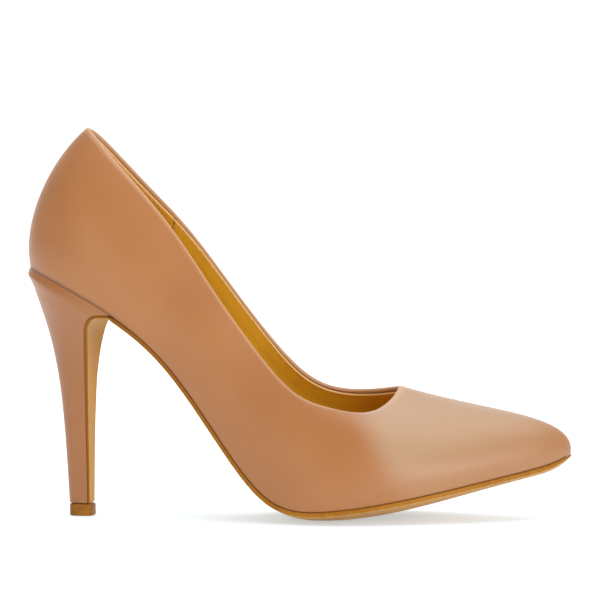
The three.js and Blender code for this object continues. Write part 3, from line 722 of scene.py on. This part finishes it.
# The turned-in leather thins out over these two distances below the fold.
FOLD_SKIVE = (0.004, 0.009)
WALL_ROWS = 34
INSIDE_ROWS = 14
INSIDE_FOOT = 0.1
INSIDE_BUNCHING = 1.5
TUCK_ROWS = 5
TUCK_RISE = 0.007
TUCK_HEIGHT = 0.00002
TUCK_WIDTH = 0.0004
SEAM_DEPTH = 0.00025
# The lasting margin lies under the insole board and narrows round the toe, between two turns.
MARGIN_TOP = 0.0013
MARGIN_THICKNESS = 0.0008
MARGIN_START = UPPER_THICKNESS + 0.0003
MARGIN_WIDE = 0.009
MARGIN_NARROW = 0.0045
MARGIN_TURNS = (0.4, 0.48)
UPPER_COLUMNS = 420
UPPER_MERGE = 1e-6
# A painted sheen makes the leather paler over the toe, less so low on the wall: the reflection of a
# soft lamp, painted into the colour. A painted highlight lies on the turned edge. It is dark low
# down where it meets the sole, and darkest there at the heel: painted shade, with some dark edge
# finish.
VEIL_PLACES = (0.042, 0.057)
VEIL_SLANT = 0.5
VEIL_RISES = (0.1, 0.55)
VEIL_LOW = 0.3
FOLD_RISES = (0.965, 1.01)
CREASE_RISE = 0.014
CREASE_AT_SOLE = 0.12
SEAT_TURNS = (BREAST_TURN - 0.01, BREAST_TURN + 0.03)


def lasting_margin(turn):
    half = min(turn % 1.0, 1 - turn % 1.0)
    return spread(MARGIN_WIDE, MARGIN_NARROW, smooth_step(*MARGIN_TURNS, half))


@lru_cache(maxsize=None)
def upper_section(turn):
    """The cut profile of the upper: under the shoe, up the wall, over the fold and back down."""
    tuck = margin_point(turn, TUCK_WIDTH, TUCK_HEIGHT)
    corner = margin_point(turn, 0.0, TUCK_HEIGHT)
    lip = wall_point(turn, TUCK_RISE)
    points = []
    for i in range(TUCK_ROWS):
        share = i / TUCK_ROWS
        points.append(tuck.lerp(corner, share).lerp(corner.lerp(lip, share), share))
    up = wall_slope(turn, 1.0)
    fold_rise = 1 - FOLD_RADIUS / up.length
    up.normalize()
    out = wall_normal(turn, 1.0)
    for i in range(WALL_ROWS):
        points.append(wall_point(turn, spread(TUCK_RISE, fold_rise, i / WALL_ROWS)))
    middle = wall_point(turn, 1.0) - (up + out) * FOLD_RADIUS
    for i in range(FOLD_ROWS + 1):
        angle = math.pi * i / FOLD_ROWS
        points.append(middle + (out * math.cos(angle) + up * math.sin(angle)) * FOLD_RADIUS)
    for i in range(1, INSIDE_ROWS + 1):
        rise = spread(fold_rise, INSIDE_FOOT, (i / INSIDE_ROWS) ** INSIDE_BUNCHING)
        thin = smooth_step(*FOLD_SKIVE, (fold_rise - rise) * topline_speed(turn))
        points.append(wall_layer(turn, rise, spread(2 * FOLD_RADIUS, UPPER_THICKNESS, thin)))
    margin = lasting_margin(turn)
    points.append(margin_point(turn, MARGIN_START, MARGIN_TOP))
    points.append(margin_point(turn, margin, MARGIN_TOP))
    points.append(margin_point(turn, margin, MARGIN_TOP - MARGIN_THICKNESS))
    return points


def upper_shell():
    """The section, carried once round the shoe, with the sewn back seam drawn in a little."""
    rows = len(upper_section(0.0))
    wall_rows = range(TUCK_ROWS + 1, TUCK_ROWS + WALL_ROWS)
    seam_normal = wall_normal(0.0, 0.5)
    mesh = bmesh.new()
    fold = mesh.verts.layers.float.new("fold")
    feather = mesh.verts.layers.float.new("feather")
    stretch_and_painted_sheen = mesh.verts.layers.float.new("stretch_and_painted_sheen")
    bmesh.ops.create_grid(mesh, x_segments=UPPER_COLUMNS, y_segments=rows, size=1.0)
    for corner in mesh.verts:
        column = round((corner.co.x + 1) / 2 * UPPER_COLUMNS) % UPPER_COLUMNS
        row = round((corner.co.y + 1) / 2 * rows) % rows
        corner.co = upper_section(column / UPPER_COLUMNS)[row]
        if column == 0 and row in wall_rows:
            corner.co -= seam_normal * SEAM_DEPTH
        above = (row - TUCK_ROWS) / WALL_ROWS
        from_back = min(column, UPPER_COLUMNS - column) / UPPER_COLUMNS
        # Painted shade, with some dark edge finish, low down where the upper meets the sole; most at
        # the heel.
        at_seat = smooth_fall(*SEAT_TURNS, from_back)
        low_down = smooth_fall(0.0, CREASE_RISE, above)
        corner[feather] = low_down * spread(CREASE_AT_SOLE, 1.0, at_seat)
        # A painted highlight on the turned edge and on the band turned in under it.
        corner[fold] = smooth_step(*FOLD_RISES, above)
        # A painted sheen: the toe is painted paler, like a soft lamp's reflection, less so low on
        # the wall.
        forward = smooth_step(*VEIL_PLACES, corner.co.x + VEIL_SLANT * corner.co.z)
        corner[stretch_and_painted_sheen] = forward * spread(VEIL_LOW, 1.0, smooth_step(*VEIL_RISES, above))
    bmesh.ops.remove_doubles(mesh, verts=mesh.verts, dist=UPPER_MERGE)
    bmesh.ops.recalc_face_normals(mesh, faces=mesh.faces)
    return mesh


def partly(recipe, name, most):
    """What is marked on the mesh, scaled to the most of it that may show."""
    share = recipe.add("Math", operation="MULTIPLY", input0=marked(recipe, name), input1=most)
    return share.outputs[0]


def nude_leather(name, dark, light):
    recipe = Recipe(name)
    grain = recipe.group(GRAIN, Scale=1700.0, Creases=0.35)
    tone = ramp(recipe, grain.outputs["Clouds"], dark, light, start=0.25, end=0.75)
    # Painted sheen over the toe.
    tone = blend(recipe, partly(recipe, "stretch_and_painted_sheen", most=0.9), tone, shade(182, 144, 109))
    # Painted shade, with some dark edge finish, where the upper meets the sole.
    tone = blend(recipe, partly(recipe, "feather", most=0.85), tone, shade(112, 60, 22))
    # Painted highlight on the turned edge.
    tone = blend(recipe, partly(recipe, "fold", most=0.55), tone, shade(212, 172, 134))
    rough = recipe.add("MapRange", Value=grain.outputs["Pores"], To_Min=0.5, To_Max=0.4)
    normal = recipe.relief(strength=0.1, distance=0.00008, height=grain.outputs["Height"])
    return recipe.finish(
        Base_Color=tone, Roughness=rough.outputs["Result"], Normal=normal,
        Coat_Weight=0.3, Coat_Roughness=0.3,
    )


nude = nude_leather("nude_leather", dark=shade(163, 100, 44), light=shade(171, 108, 52))
make_piece("upper_leather", upper_shell(), [nude], "nude_leather", "upper")

# ---- Sock lining ----
# The same gold leather, cut to the bottom of the last inside the lining, laid over the pads and
# the boards and glued down. It shows deep in the opening.

SOCK_INSET = 0.0022
SOCK_THICKNESS = 0.0008
SOCK_ROUND = 0.00025
# It lies on the insole board, and goes up over the shank board and each pad as they begin and
# end along the shoe.
INSOLE_TOP = 0.0034
SHANK_BOARD_STEP = 0.0012
SHANK_BOARD_END = (0.53, 0.57)
PAD_STEP = 0.0021
HEEL_PAD_END = (0.295, 0.36)
CUSHION_START = (0.52, 0.56)
CUSHION_END = (0.87, 0.93)


def sock_height(along):
    shank = smooth_fall(*SHANK_BOARD_END, along) * SHANK_BOARD_STEP
    heel = smooth_fall(*HEEL_PAD_END, along) * PAD_STEP
    ball = smooth_step(*CUSHION_START, along) * smooth_fall(*CUSHION_END, along) * PAD_STEP
    return INSOLE_TOP + max(shank + heel, ball)


def sock_face(thickness):
    def place(along, across):
        return bottom_point(along, across, SOCK_INSET, sock_height(along) + thickness)

    return place


sock = thick_sheet(160, 28, sock_face(SOCK_THICKNESS), sock_face(0.0))
sock.verts.layers.float.new("cut_edge")
round_edges(sock, SOCK_ROUND)
make_piece("sock_leather", sock, [GOLD], "gold_lining", "sock_lining")

# ---- Heel ----
# A hard moulded block with a steel pin down its stem. The same nude leather is wrapped round
# its back and sides; every section is the outline of the seat, drawn in.

FOOT_MIDDLE = 0.0006
CENTRED_DOWN = 0.6
COVER_THICKNESS = 0.0008
COVER_ROUND = 0.00015
SEAT_RIM = 0.01
SEAT_SHADE = 0.008
SEAT_BLEND = 0.1
# For each section, from the seat down: the back, the corner of the breast and the face of the
# flap on it, as places along and above the floor; the half width; how far the inner corner of
# the breast leads the outer one; and how deep the breast is hollowed.
HEEL_SECTIONS = {
    "seat": ((-0.1088, 0.1002), (-0.073, 0.0814), (-0.0726, 0.0801), 0.0229, 0.0, 0.0),
    "tongue": ((-0.1098, 0.0976), (-0.0772, 0.0815), (-0.0764, 0.08025), 0.0225, 0.0006, 0.0),
    "corner": ((-0.1088, 0.0952), (-0.0806, 0.081), (-0.0796, 0.08), 0.0214, 0.0016, 0.0),
    "fillet": ((-0.1076, 0.0926), (-0.083, 0.0794), (-0.0816, 0.0786), 0.0196, 0.0024, 0.0004),
    "breast": ((-0.1062, 0.0884), (-0.0846, 0.076), (-0.083, 0.0758), 0.0171, 0.0026, 0.001),
    "neck": ((-0.1045, 0.0834), (-0.0851, 0.0716), (-0.0835, 0.0715), 0.0144, 0.0022, 0.0014),
    "waist": ((-0.1024, 0.077), (-0.08545, 0.066), (-0.08385, 0.066), 0.012, 0.0017, 0.0012),
    "upper_stem": ((-0.0996, 0.0665), (-0.08565, 0.0565), (-0.0842, 0.0565), 0.0093, 0.0012, 0.0008),
    "mid_stem": ((-0.097, 0.052), (-0.08575, 0.0455), (-0.0844, 0.0455), 0.0072, 0.0011, 0.0004),
    "stem": ((-0.0953, 0.036), (-0.0857, 0.0335), (-0.0845, 0.0335), 0.00595, 0.001, 0.0002),
    "low_stem": ((-0.0941, 0.02), (-0.0855, 0.02), (-0.0844, 0.02), 0.0051, 0.0008, 0.0),
    "foot": ((-0.0932, 0.0051), (-0.08535, 0.0051), (-0.0843, 0.0051), 0.0047, 0.0006, 0.0),
}
BACK, BREAST, FLAP, HALF, LEAD, HOLLOW = range(6)


def through_sections(column, down):
    """The smooth line through one column of the heel's sections."""
    rows = list(HEEL_SECTIONS.values())
    place = min(max(down, 0.0), 1.0) * (len(rows) - 1)
    first = min(int(place), len(rows) - 2)
    part = place - first
    around = [rows[min(max(first + i, 0), len(rows) - 1)][column] for i in (-1, 0, 1, 2)]
    if column <= FLAP:
        return tuple(catmull(part, *[pair[i] for pair in around]) for i in (0, 1))
    return catmull(part, *around)


def catmull(part, before, start, end, after):
    left = (end - before) / 2
    right = (after - start) / 2
    bend = 3 * (end - start) - 2 * left - right
    twist = 2 * (start - end) + left + right
    return start + part * (left + part * (bend + part * twist))


outer_breast = feather_point(BREAST_TURN)
inner_breast = feather_point(1 - BREAST_TURN)
seat_middle = (outer_breast.y + inner_breast.y) / 2
seat_half = (inner_breast.y - outer_breast.y) / 2
seat_front = (outer_breast.x + inner_breast.x) / 2
seat_back = feather_point(0.0).x


def heel_middle(down):
    return spread(seat_middle, FOOT_MIDDLE, smooth_step(0.0, CENTRED_DOWN, down))


def heel_surface(turn, down):
    """The outline of the seat, drawn in to the section; down is 0 at the seat and 1 at the foot."""
    seat = feather_point(turn % 1.0)
    reach = (seat.x - seat_front) / (seat_back - seat_front)
    side = (seat.y - seat_middle) / seat_half
    back_x, back_z = through_sections(BACK, down)
    breast_x, breast_z = through_sections(BREAST, down)
    lead = through_sections(LEAD, down) * (1 + side) / 2 * (1 - reach)
    drawn = Vector((
        spread(breast_x, back_x, reach) + lead - LAST_CENTRE.x,
        heel_middle(down) + side * through_sections(HALF, down),
        spread(breast_z, back_z, reach),
    ))
    return seat.lerp(drawn, smooth_step(0.0, SEAT_BLEND, down))


def heel_layer(turn, down, depth):
    """The heel drawn in by the depth; at the seat it keeps to the bottom of the last."""
    round_it = heel_surface(turn + TINY_TURN, down) - heel_surface(turn - TINY_TURN, down)
    low = max(down - TINY_TURN, 0.0)
    high = min(down + TINY_TURN, 1.0)
    down_it = heel_surface(turn, high) - heel_surface(turn, low)
    outward = round_it.cross(down_it).normalized()
    buried = heel_surface(turn, down) + outward * depth
    return margin_point(turn % 1.0, depth, 0.0).lerp(buried, smooth_step(0.0, SEAT_BLEND, down))


def cover_face(depth):
    def place(column, down):
        return heel_layer(spread(-BREAST_TURN, BREAST_TURN, column), down, depth)

    return place


cover = thick_sheet(90, 150, cover_face(0.0), cover_face(COVER_THICKNESS))
seat_edge = cover.verts.layers.float.new("feather")
down_layer = cover.verts.layers.float["row"]
# Painted shade darkens the cover just under the seat, where it meets the upper.
for corner in cover.verts:
    corner[seat_edge] = smooth_fall(0.0, SEAT_SHADE, corner[down_layer])


def below_seat_rim(edge):
    return all(end[down_layer] > SEAT_RIM for end in edge.verts)


round_edges(cover, COVER_ROUND, chosen=below_seat_rim)
# A darker copy of the upper's nude leather: painted shade on the heel.
heel_nude_painted_shade = nude_leather("heel_nude_leather_painted_shade", dark=shade(155, 92, 38), light=shade(163, 100, 45))
make_piece("heel_cover_leather", cover, [heel_nude_painted_shade], "heel_leather", "heel_cover")


def moulded_plastic():
    recipe = Recipe("moulded_plastic")
    place = recipe.add("TexCoord").outputs["Object"]
    flow = recipe.add("TexNoise", Vector=place, Scale=60.0, Detail=3.0, Distortion=1.0)
    pits = recipe.add("TexNoise", Vector=place, Scale=2400.0, Detail=2.0)
    colour = ramp(recipe, flow.outputs["Fac"], shade(226, 222, 212), shade(238, 235, 228))
    normal = recipe.relief(strength=0.1, distance=0.0001, height=pits.outputs["Fac"])
    return recipe.finish(Base_Color=colour, Roughness=0.42, Normal=normal)


coat_nodes(["heel_block"], moulded_plastic())

# ---- Outsole ----
# One piece of sole leather, glued from the toe to the heel and on down the hollow breast to the
# top lift. The tread is burnished gold and the trimmed edge is stained darker.

SOLE_START = 0.245
FLAP_ROWS = 90
TREAD_COLUMNS = 170
FLAP_TOP = 0.03
FLAP_GAP = 0.00006
CEMENT_GAP = 0.00005
SOLE_ROWS = 44
SAME_ROW = 1e-4
TIP_START = 0.985
TREAD_ROUND = 0.0003
GLUED_ROUND = 0.00008
# The sole is thin along the arch and crowned under the ball, and skived down towards the tip.
ARCH_THICKNESS = 0.0018
BALL_THICKNESS = 0.0021
BALL_CROWN = 0.0011
TIP_SKIVED = 0.6
BALL_START = (0.42, 0.54)
TIP_SKIVE = (0.88, 1.0)
CROWN_SIDE = (0.08, 0.45)


def breast_point(down, side, line):
    """side is -1 at the outer corner of the breast and 1 at the inner one."""
    x, z = through_sections(line, down)
    hollow = through_sections(HOLLOW, down) * (1 - side ** 2)
    return Vector((
        x + through_sections(LEAD, down) * (1 + side) / 2 - hollow - LAST_CENTRE.x,
        heel_middle(down) + side * through_sections(HALF, down),
        z,
    ))


def sole_thickness(along, across):
    ball = smooth_step(*BALL_START, along)
    tip = smooth_step(*TIP_SKIVE, along)
    middle = smooth_step(*CROWN_SIDE, min(across, 1 - across))
    edge = spread(ARCH_THICKNESS, BALL_THICKNESS, ball)
    return (edge + BALL_CROWN * ball * (1 - tip) * middle) * (1 - TIP_SKIVED * tip)


def sole_point(run, across, worn):
    """run is 0 at the foot of the heel and 1 at the toe tip; worn is the face that is walked on."""
    place = run * (FLAP_ROWS + TREAD_COLUMNS)
    if place < FLAP_ROWS:
        down = spread(1.0, FLAP_TOP, place / FLAP_ROWS)
        side = 2 * across - 1
        glued = breast_point(down, side, BREAST)
        face = breast_point(down, side, FLAP)
        return face if worn else glued + (face - glued).normalized() * FLAP_GAP
    along = spread(SOLE_START, 1.0, (place - FLAP_ROWS) / TREAD_COLUMNS)
    height = -sole_thickness(along, across) if worn else -CEMENT_GAP
    point = bottom_point(along, across, 0.0, height)
    point.z = max(point.z, 0.0)
    return point


def sole_leather(name, dark, light, gloss, edge_ink_and_shade, heel_tone):
    recipe = Recipe(name)
    grain = recipe.group(GRAIN, Scale=900.0, Creases=0.6)
    fibre = recipe.group(FIBRE, Scale=420.0, Stretch=0.12)
    streak = recipe.add(
        "Math", operation="MULTIPLY_ADD",
        input0=fibre.outputs["Height"], input1=0.6, input2=grain.outputs["Clouds"],
    )
    tread = ramp(recipe, streak.outputs[0], dark, light, start=0.55, end=1.0)
    run = marked(recipe, "column")
    past_heel = recipe.add("MapRange", Value=run, From_Min=0.36, From_Max=0.6)
    body = blend(recipe, past_heel.outputs["Result"], heel_tone, tread)
    # Darker towards the glued face, under the upper: painted shade, with some dark edge ink.
    glued = marked(recipe, "depth")
    near_upper = recipe.add("MapRange", Value=glued, From_Min=0.7, From_Max=1.0)
    tone = blend(recipe, near_upper.outputs["Result"], body, edge_ink_and_shade)
    normal = recipe.relief(strength=0.16, distance=0.0001, height=grain.outputs["Height"])
    return recipe.finish(
        Base_Color=tone, Roughness=gloss, Normal=normal, Specular_IOR_Level=0.2
    )


sole = thick_sheet(
    FLAP_ROWS + TREAD_COLUMNS, SOLE_ROWS,
    lambda run, across: sole_point(run, across, worn=True),
    lambda run, across: sole_point(run, across, worn=False),
)
across_layer = sole.verts.layers.float["row"]
# The faces of the trimmed sides lie all on one row of the sheet.
for face in sole.faces:
    shares = [corner[across_layer] for corner in face.verts]
    if max(shares) - min(shares) < SAME_ROW:
        face.material_index = 1
depth_layer = sole.verts.layers.float["depth"]
run_layer = sole.verts.layers.float["column"]


# depth is 0 on the tread and 1 on the glued face; the very tip stays sharp.
def on_tread_rim(edge):
    return all(end[depth_layer] < 0.5 and end[run_layer] < TIP_START for end in edge.verts)


def on_glued_rim(edge):
    return all(end[depth_layer] > 0.99 and end[run_layer] < TIP_START for end in edge.verts)


round_edges(sole, TREAD_ROUND, segments=3, chosen=on_tread_rim)
round_edges(sole, GLUED_ROUND, segments=1, chosen=on_glued_rim)
burnished = sole_leather(
    "burnished_sole", dark=shade(170, 116, 50), light=shade(198, 146, 76), gloss=0.6,
    edge_ink_and_shade=shade(150, 96, 40), heel_tone=shade(194, 142, 56),
)
stained = sole_leather(
    "stained_edge", dark=shade(146, 88, 8), light=shade(172, 110, 20), gloss=0.45,
    edge_ink_and_shade=shade(102, 52, 2), heel_tone=shade(140, 82, 4),
)
make_piece("outsole_leather", sole, [burnished, stained], "sole_leather", "outsole")

# ---- Top lift ----
# A small block of hard tan rubber, held by a steel dowel pressed up into the heel pin; its
# sides are buffed flush with the heel and its bottom corner is rounded.

LIFT_HEIGHT = 0.0048
LIFT_MIDDLE = Vector((-0.0878, 0.0006, 0.0))
LIFT_BACK = 0.0042
LIFT_FRONT = 0.0056
LIFT_HALF = 0.0047
LIFT_ROUND = 0.0005
FRONT_SQUARENESS = 5.0
BACK_SQUARENESS = 2.3
# The lift is turned with the breast of the heel, whose inner corner leads.
HEEL_SWING = math.radians(6)


def squared_off(share, squareness):
    return math.copysign(abs(share) ** (2 / squareness), share)


def lift_outline(angle):
    """A round back and a flat front with small corners."""
    reach, squareness = LIFT_BACK, BACK_SQUARENESS
    if math.cos(angle) > 0:
        reach, squareness = LIFT_FRONT, FRONT_SQUARENESS
    x = squared_off(math.cos(angle), squareness) * reach
    y = squared_off(math.sin(angle), squareness) * LIFT_HALF
    return x, y


def top_lift():
    mesh = bmesh.new()
    made = bmesh.ops.create_circle(mesh, cap_ends=True, segments=72, radius=1.0)
    for corner in made["verts"]:
        x, y = lift_outline(math.atan2(corner.co.y, corner.co.x))
        corner.co = Vector((x, y, 0.0))
    grown = bmesh.ops.extrude_face_region(mesh, geom=list(mesh.faces), use_keep_orig=True)
    above = [part for part in grown["geom"] if isinstance(part, bmesh.types.BMVert)]
    bmesh.ops.translate(mesh, verts=above, vec=(0.0, 0.0, LIFT_HEIGHT))
    bmesh.ops.recalc_face_normals(mesh, faces=mesh.faces)
    round_edges(mesh, LIFT_ROUND, segments=4, sharper_than=1.2)
    swing = Matrix.Rotation(-HEEL_SWING, 3, "Z")
    bmesh.ops.rotate(mesh, verts=mesh.verts, cent=(0.0, 0.0, 0.0), matrix=swing)
    bmesh.ops.translate(mesh, verts=mesh.verts, vec=LIFT_MIDDLE)
    return mesh


def tan_rubber():
    recipe = Recipe("tan_rubber")
    place = recipe.add("TexCoord").outputs["Object"]
    clouds = recipe.add("TexNoise", Vector=place, Scale=240.0, Detail=4.0)
    specks = recipe.add("TexNoise", Vector=place, Scale=3000.0, Detail=2.0)
    colour = ramp(recipe, clouds.outputs["Fac"], shade(132, 78, 6), shade(158, 100, 18))
    normal = recipe.relief(strength=0.2, distance=0.0001, height=specks.outputs["Fac"])
    return recipe.finish(
        Base_Color=colour, Roughness=0.5, Normal=normal, Specular_IOR_Level=0.25
    )


make_piece("top_lift_rubber", top_lift(), [tan_rubber()], "tan_rubber", "top_lift")

# ---- Floor, lights and camera ----
# A pale paper sweep under broad soft lamps, seen nearly level with the shoe from its outer side.
# The paper glows less close to the shoe, so the soft shadow under the ball can be seen.

GLOW_NEAR = (0.3, 0.39, 0.45, 1.0)
GLOW_FAR = (0.6, 0.6, 0.6, 1.0)
SWEEP_HALF = 8.0
SWEEP_FRONT = -6.0
SWEEP_PROFILE = ((4.0, 0.0), (6.0, 0.4), (7.4, 1.4), (8.0, 3.0), (8.0, 9.0))


def sweep():
    mesh = bmesh.new()
    corners = [mesh.verts.new((x, SWEEP_FRONT, 0.0)) for x in (-SWEEP_HALF, SWEEP_HALF)]
    edge = mesh.edges.new(corners)
    for y, z in SWEEP_PROFILE:
        grown = bmesh.ops.extrude_edge_only(mesh, edges=[edge])
        new = [part for part in grown["geom"] if isinstance(part, bmesh.types.BMVert)]
        for corner in new:
            corner.co.y = y
            corner.co.z = z
        edge = next(part for part in grown["geom"] if isinstance(part, bmesh.types.BMEdge))
    bmesh.ops.recalc_face_normals(mesh, faces=mesh.faces)
    data = bpy.data.meshes.new("floor")
    mesh.to_mesh(data)
    mesh.free()
    floor = bpy.data.objects.new("floor", data)
    bpy.context.scene.collection.objects.link(floor)
    return floor


def pale_paper():
    recipe = Recipe("pale_paper")
    place = recipe.add("TexCoord").outputs["Object"]
    mottle = recipe.add("TexNoise", Vector=place, Scale=3.0, Detail=2.0)
    colour = ramp(recipe, mottle.outputs["Fac"], shade(233, 236, 239), shade(237, 240, 243))
    reach = recipe.add("VectorMath", operation="LENGTH", input0=place)
    glow = ramp(recipe, reach.outputs["Value"], GLOW_NEAR, GLOW_FAR, start=0.3, end=1.0)
    return recipe.finish(
        Base_Color=colour, Roughness=0.9, Emission_Color=glow, Emission_Strength=1.0
    )


floor = sweep()
floor.data.materials.append(pale_paper())


def lamp(name, place, aim, size, power):
    """A soft rectangular lamp, turned to the point it is aimed at."""
    light = bpy.data.lights.new(name, "AREA")
    light.shape = "RECTANGLE"
    light.size, light.size_y = size
    light.energy = power
    holder = bpy.data.objects.new(name, light)
    bpy.context.scene.collection.objects.link(holder)
    holder.location = place
    holder.rotation_euler = (Vector(aim) - Vector(place)).to_track_quat("-Z", "Y").to_euler()


lamp("overhead", place=(0.1, 0.1, 1.5), aim=(0.0, 0.0, 0.0), size=(2.0, 1.4), power=14.0)
lamp("front_left", place=(-0.9, -1.7, 0.5), aim=(0.0, 0.0, 0.08), size=(1.0, 0.8), power=3.0)
lamp("front_right", place=(1.2, -1.5, 0.4), aim=(0.0, 0.0, 0.06), size=(0.8, 0.7), power=10.0)

world = bpy.data.worlds.new("studio")
world.use_nodes = True
sky = world.node_tree.nodes["Background"]
sky.inputs["Color"].default_value = (1.0, 1.0, 1.0, 1.0)
sky.inputs["Strength"].default_value = 0.6
bpy.context.scene.world = world
bpy.context.scene.view_settings.view_transform = "Standard"

VIEW_TURN = math.radians(5.5)
VIEW_RISE = math.radians(2.5)
VIEW_DISTANCE = 1.6
VIEW_TARGET = Vector((0.0, 0.0, 0.087)) - LAST_CENTRE

camera_data = bpy.data.cameras.new("camera")
camera_data.sensor_width = 36.0
camera_data.lens = 240.0
camera = bpy.data.objects.new("camera", camera_data)
bpy.context.scene.collection.objects.link(camera)
backward = Vector((
    math.sin(VIEW_TURN) * math.cos(VIEW_RISE),
    -math.cos(VIEW_TURN) * math.cos(VIEW_RISE),
    math.sin(VIEW_RISE),
))
camera.location = VIEW_TARGET + backward * VIEW_DISTANCE
camera.rotation_euler = backward.to_track_quat("Z", "Y").to_euler()
bpy.context.scene.camera = camera
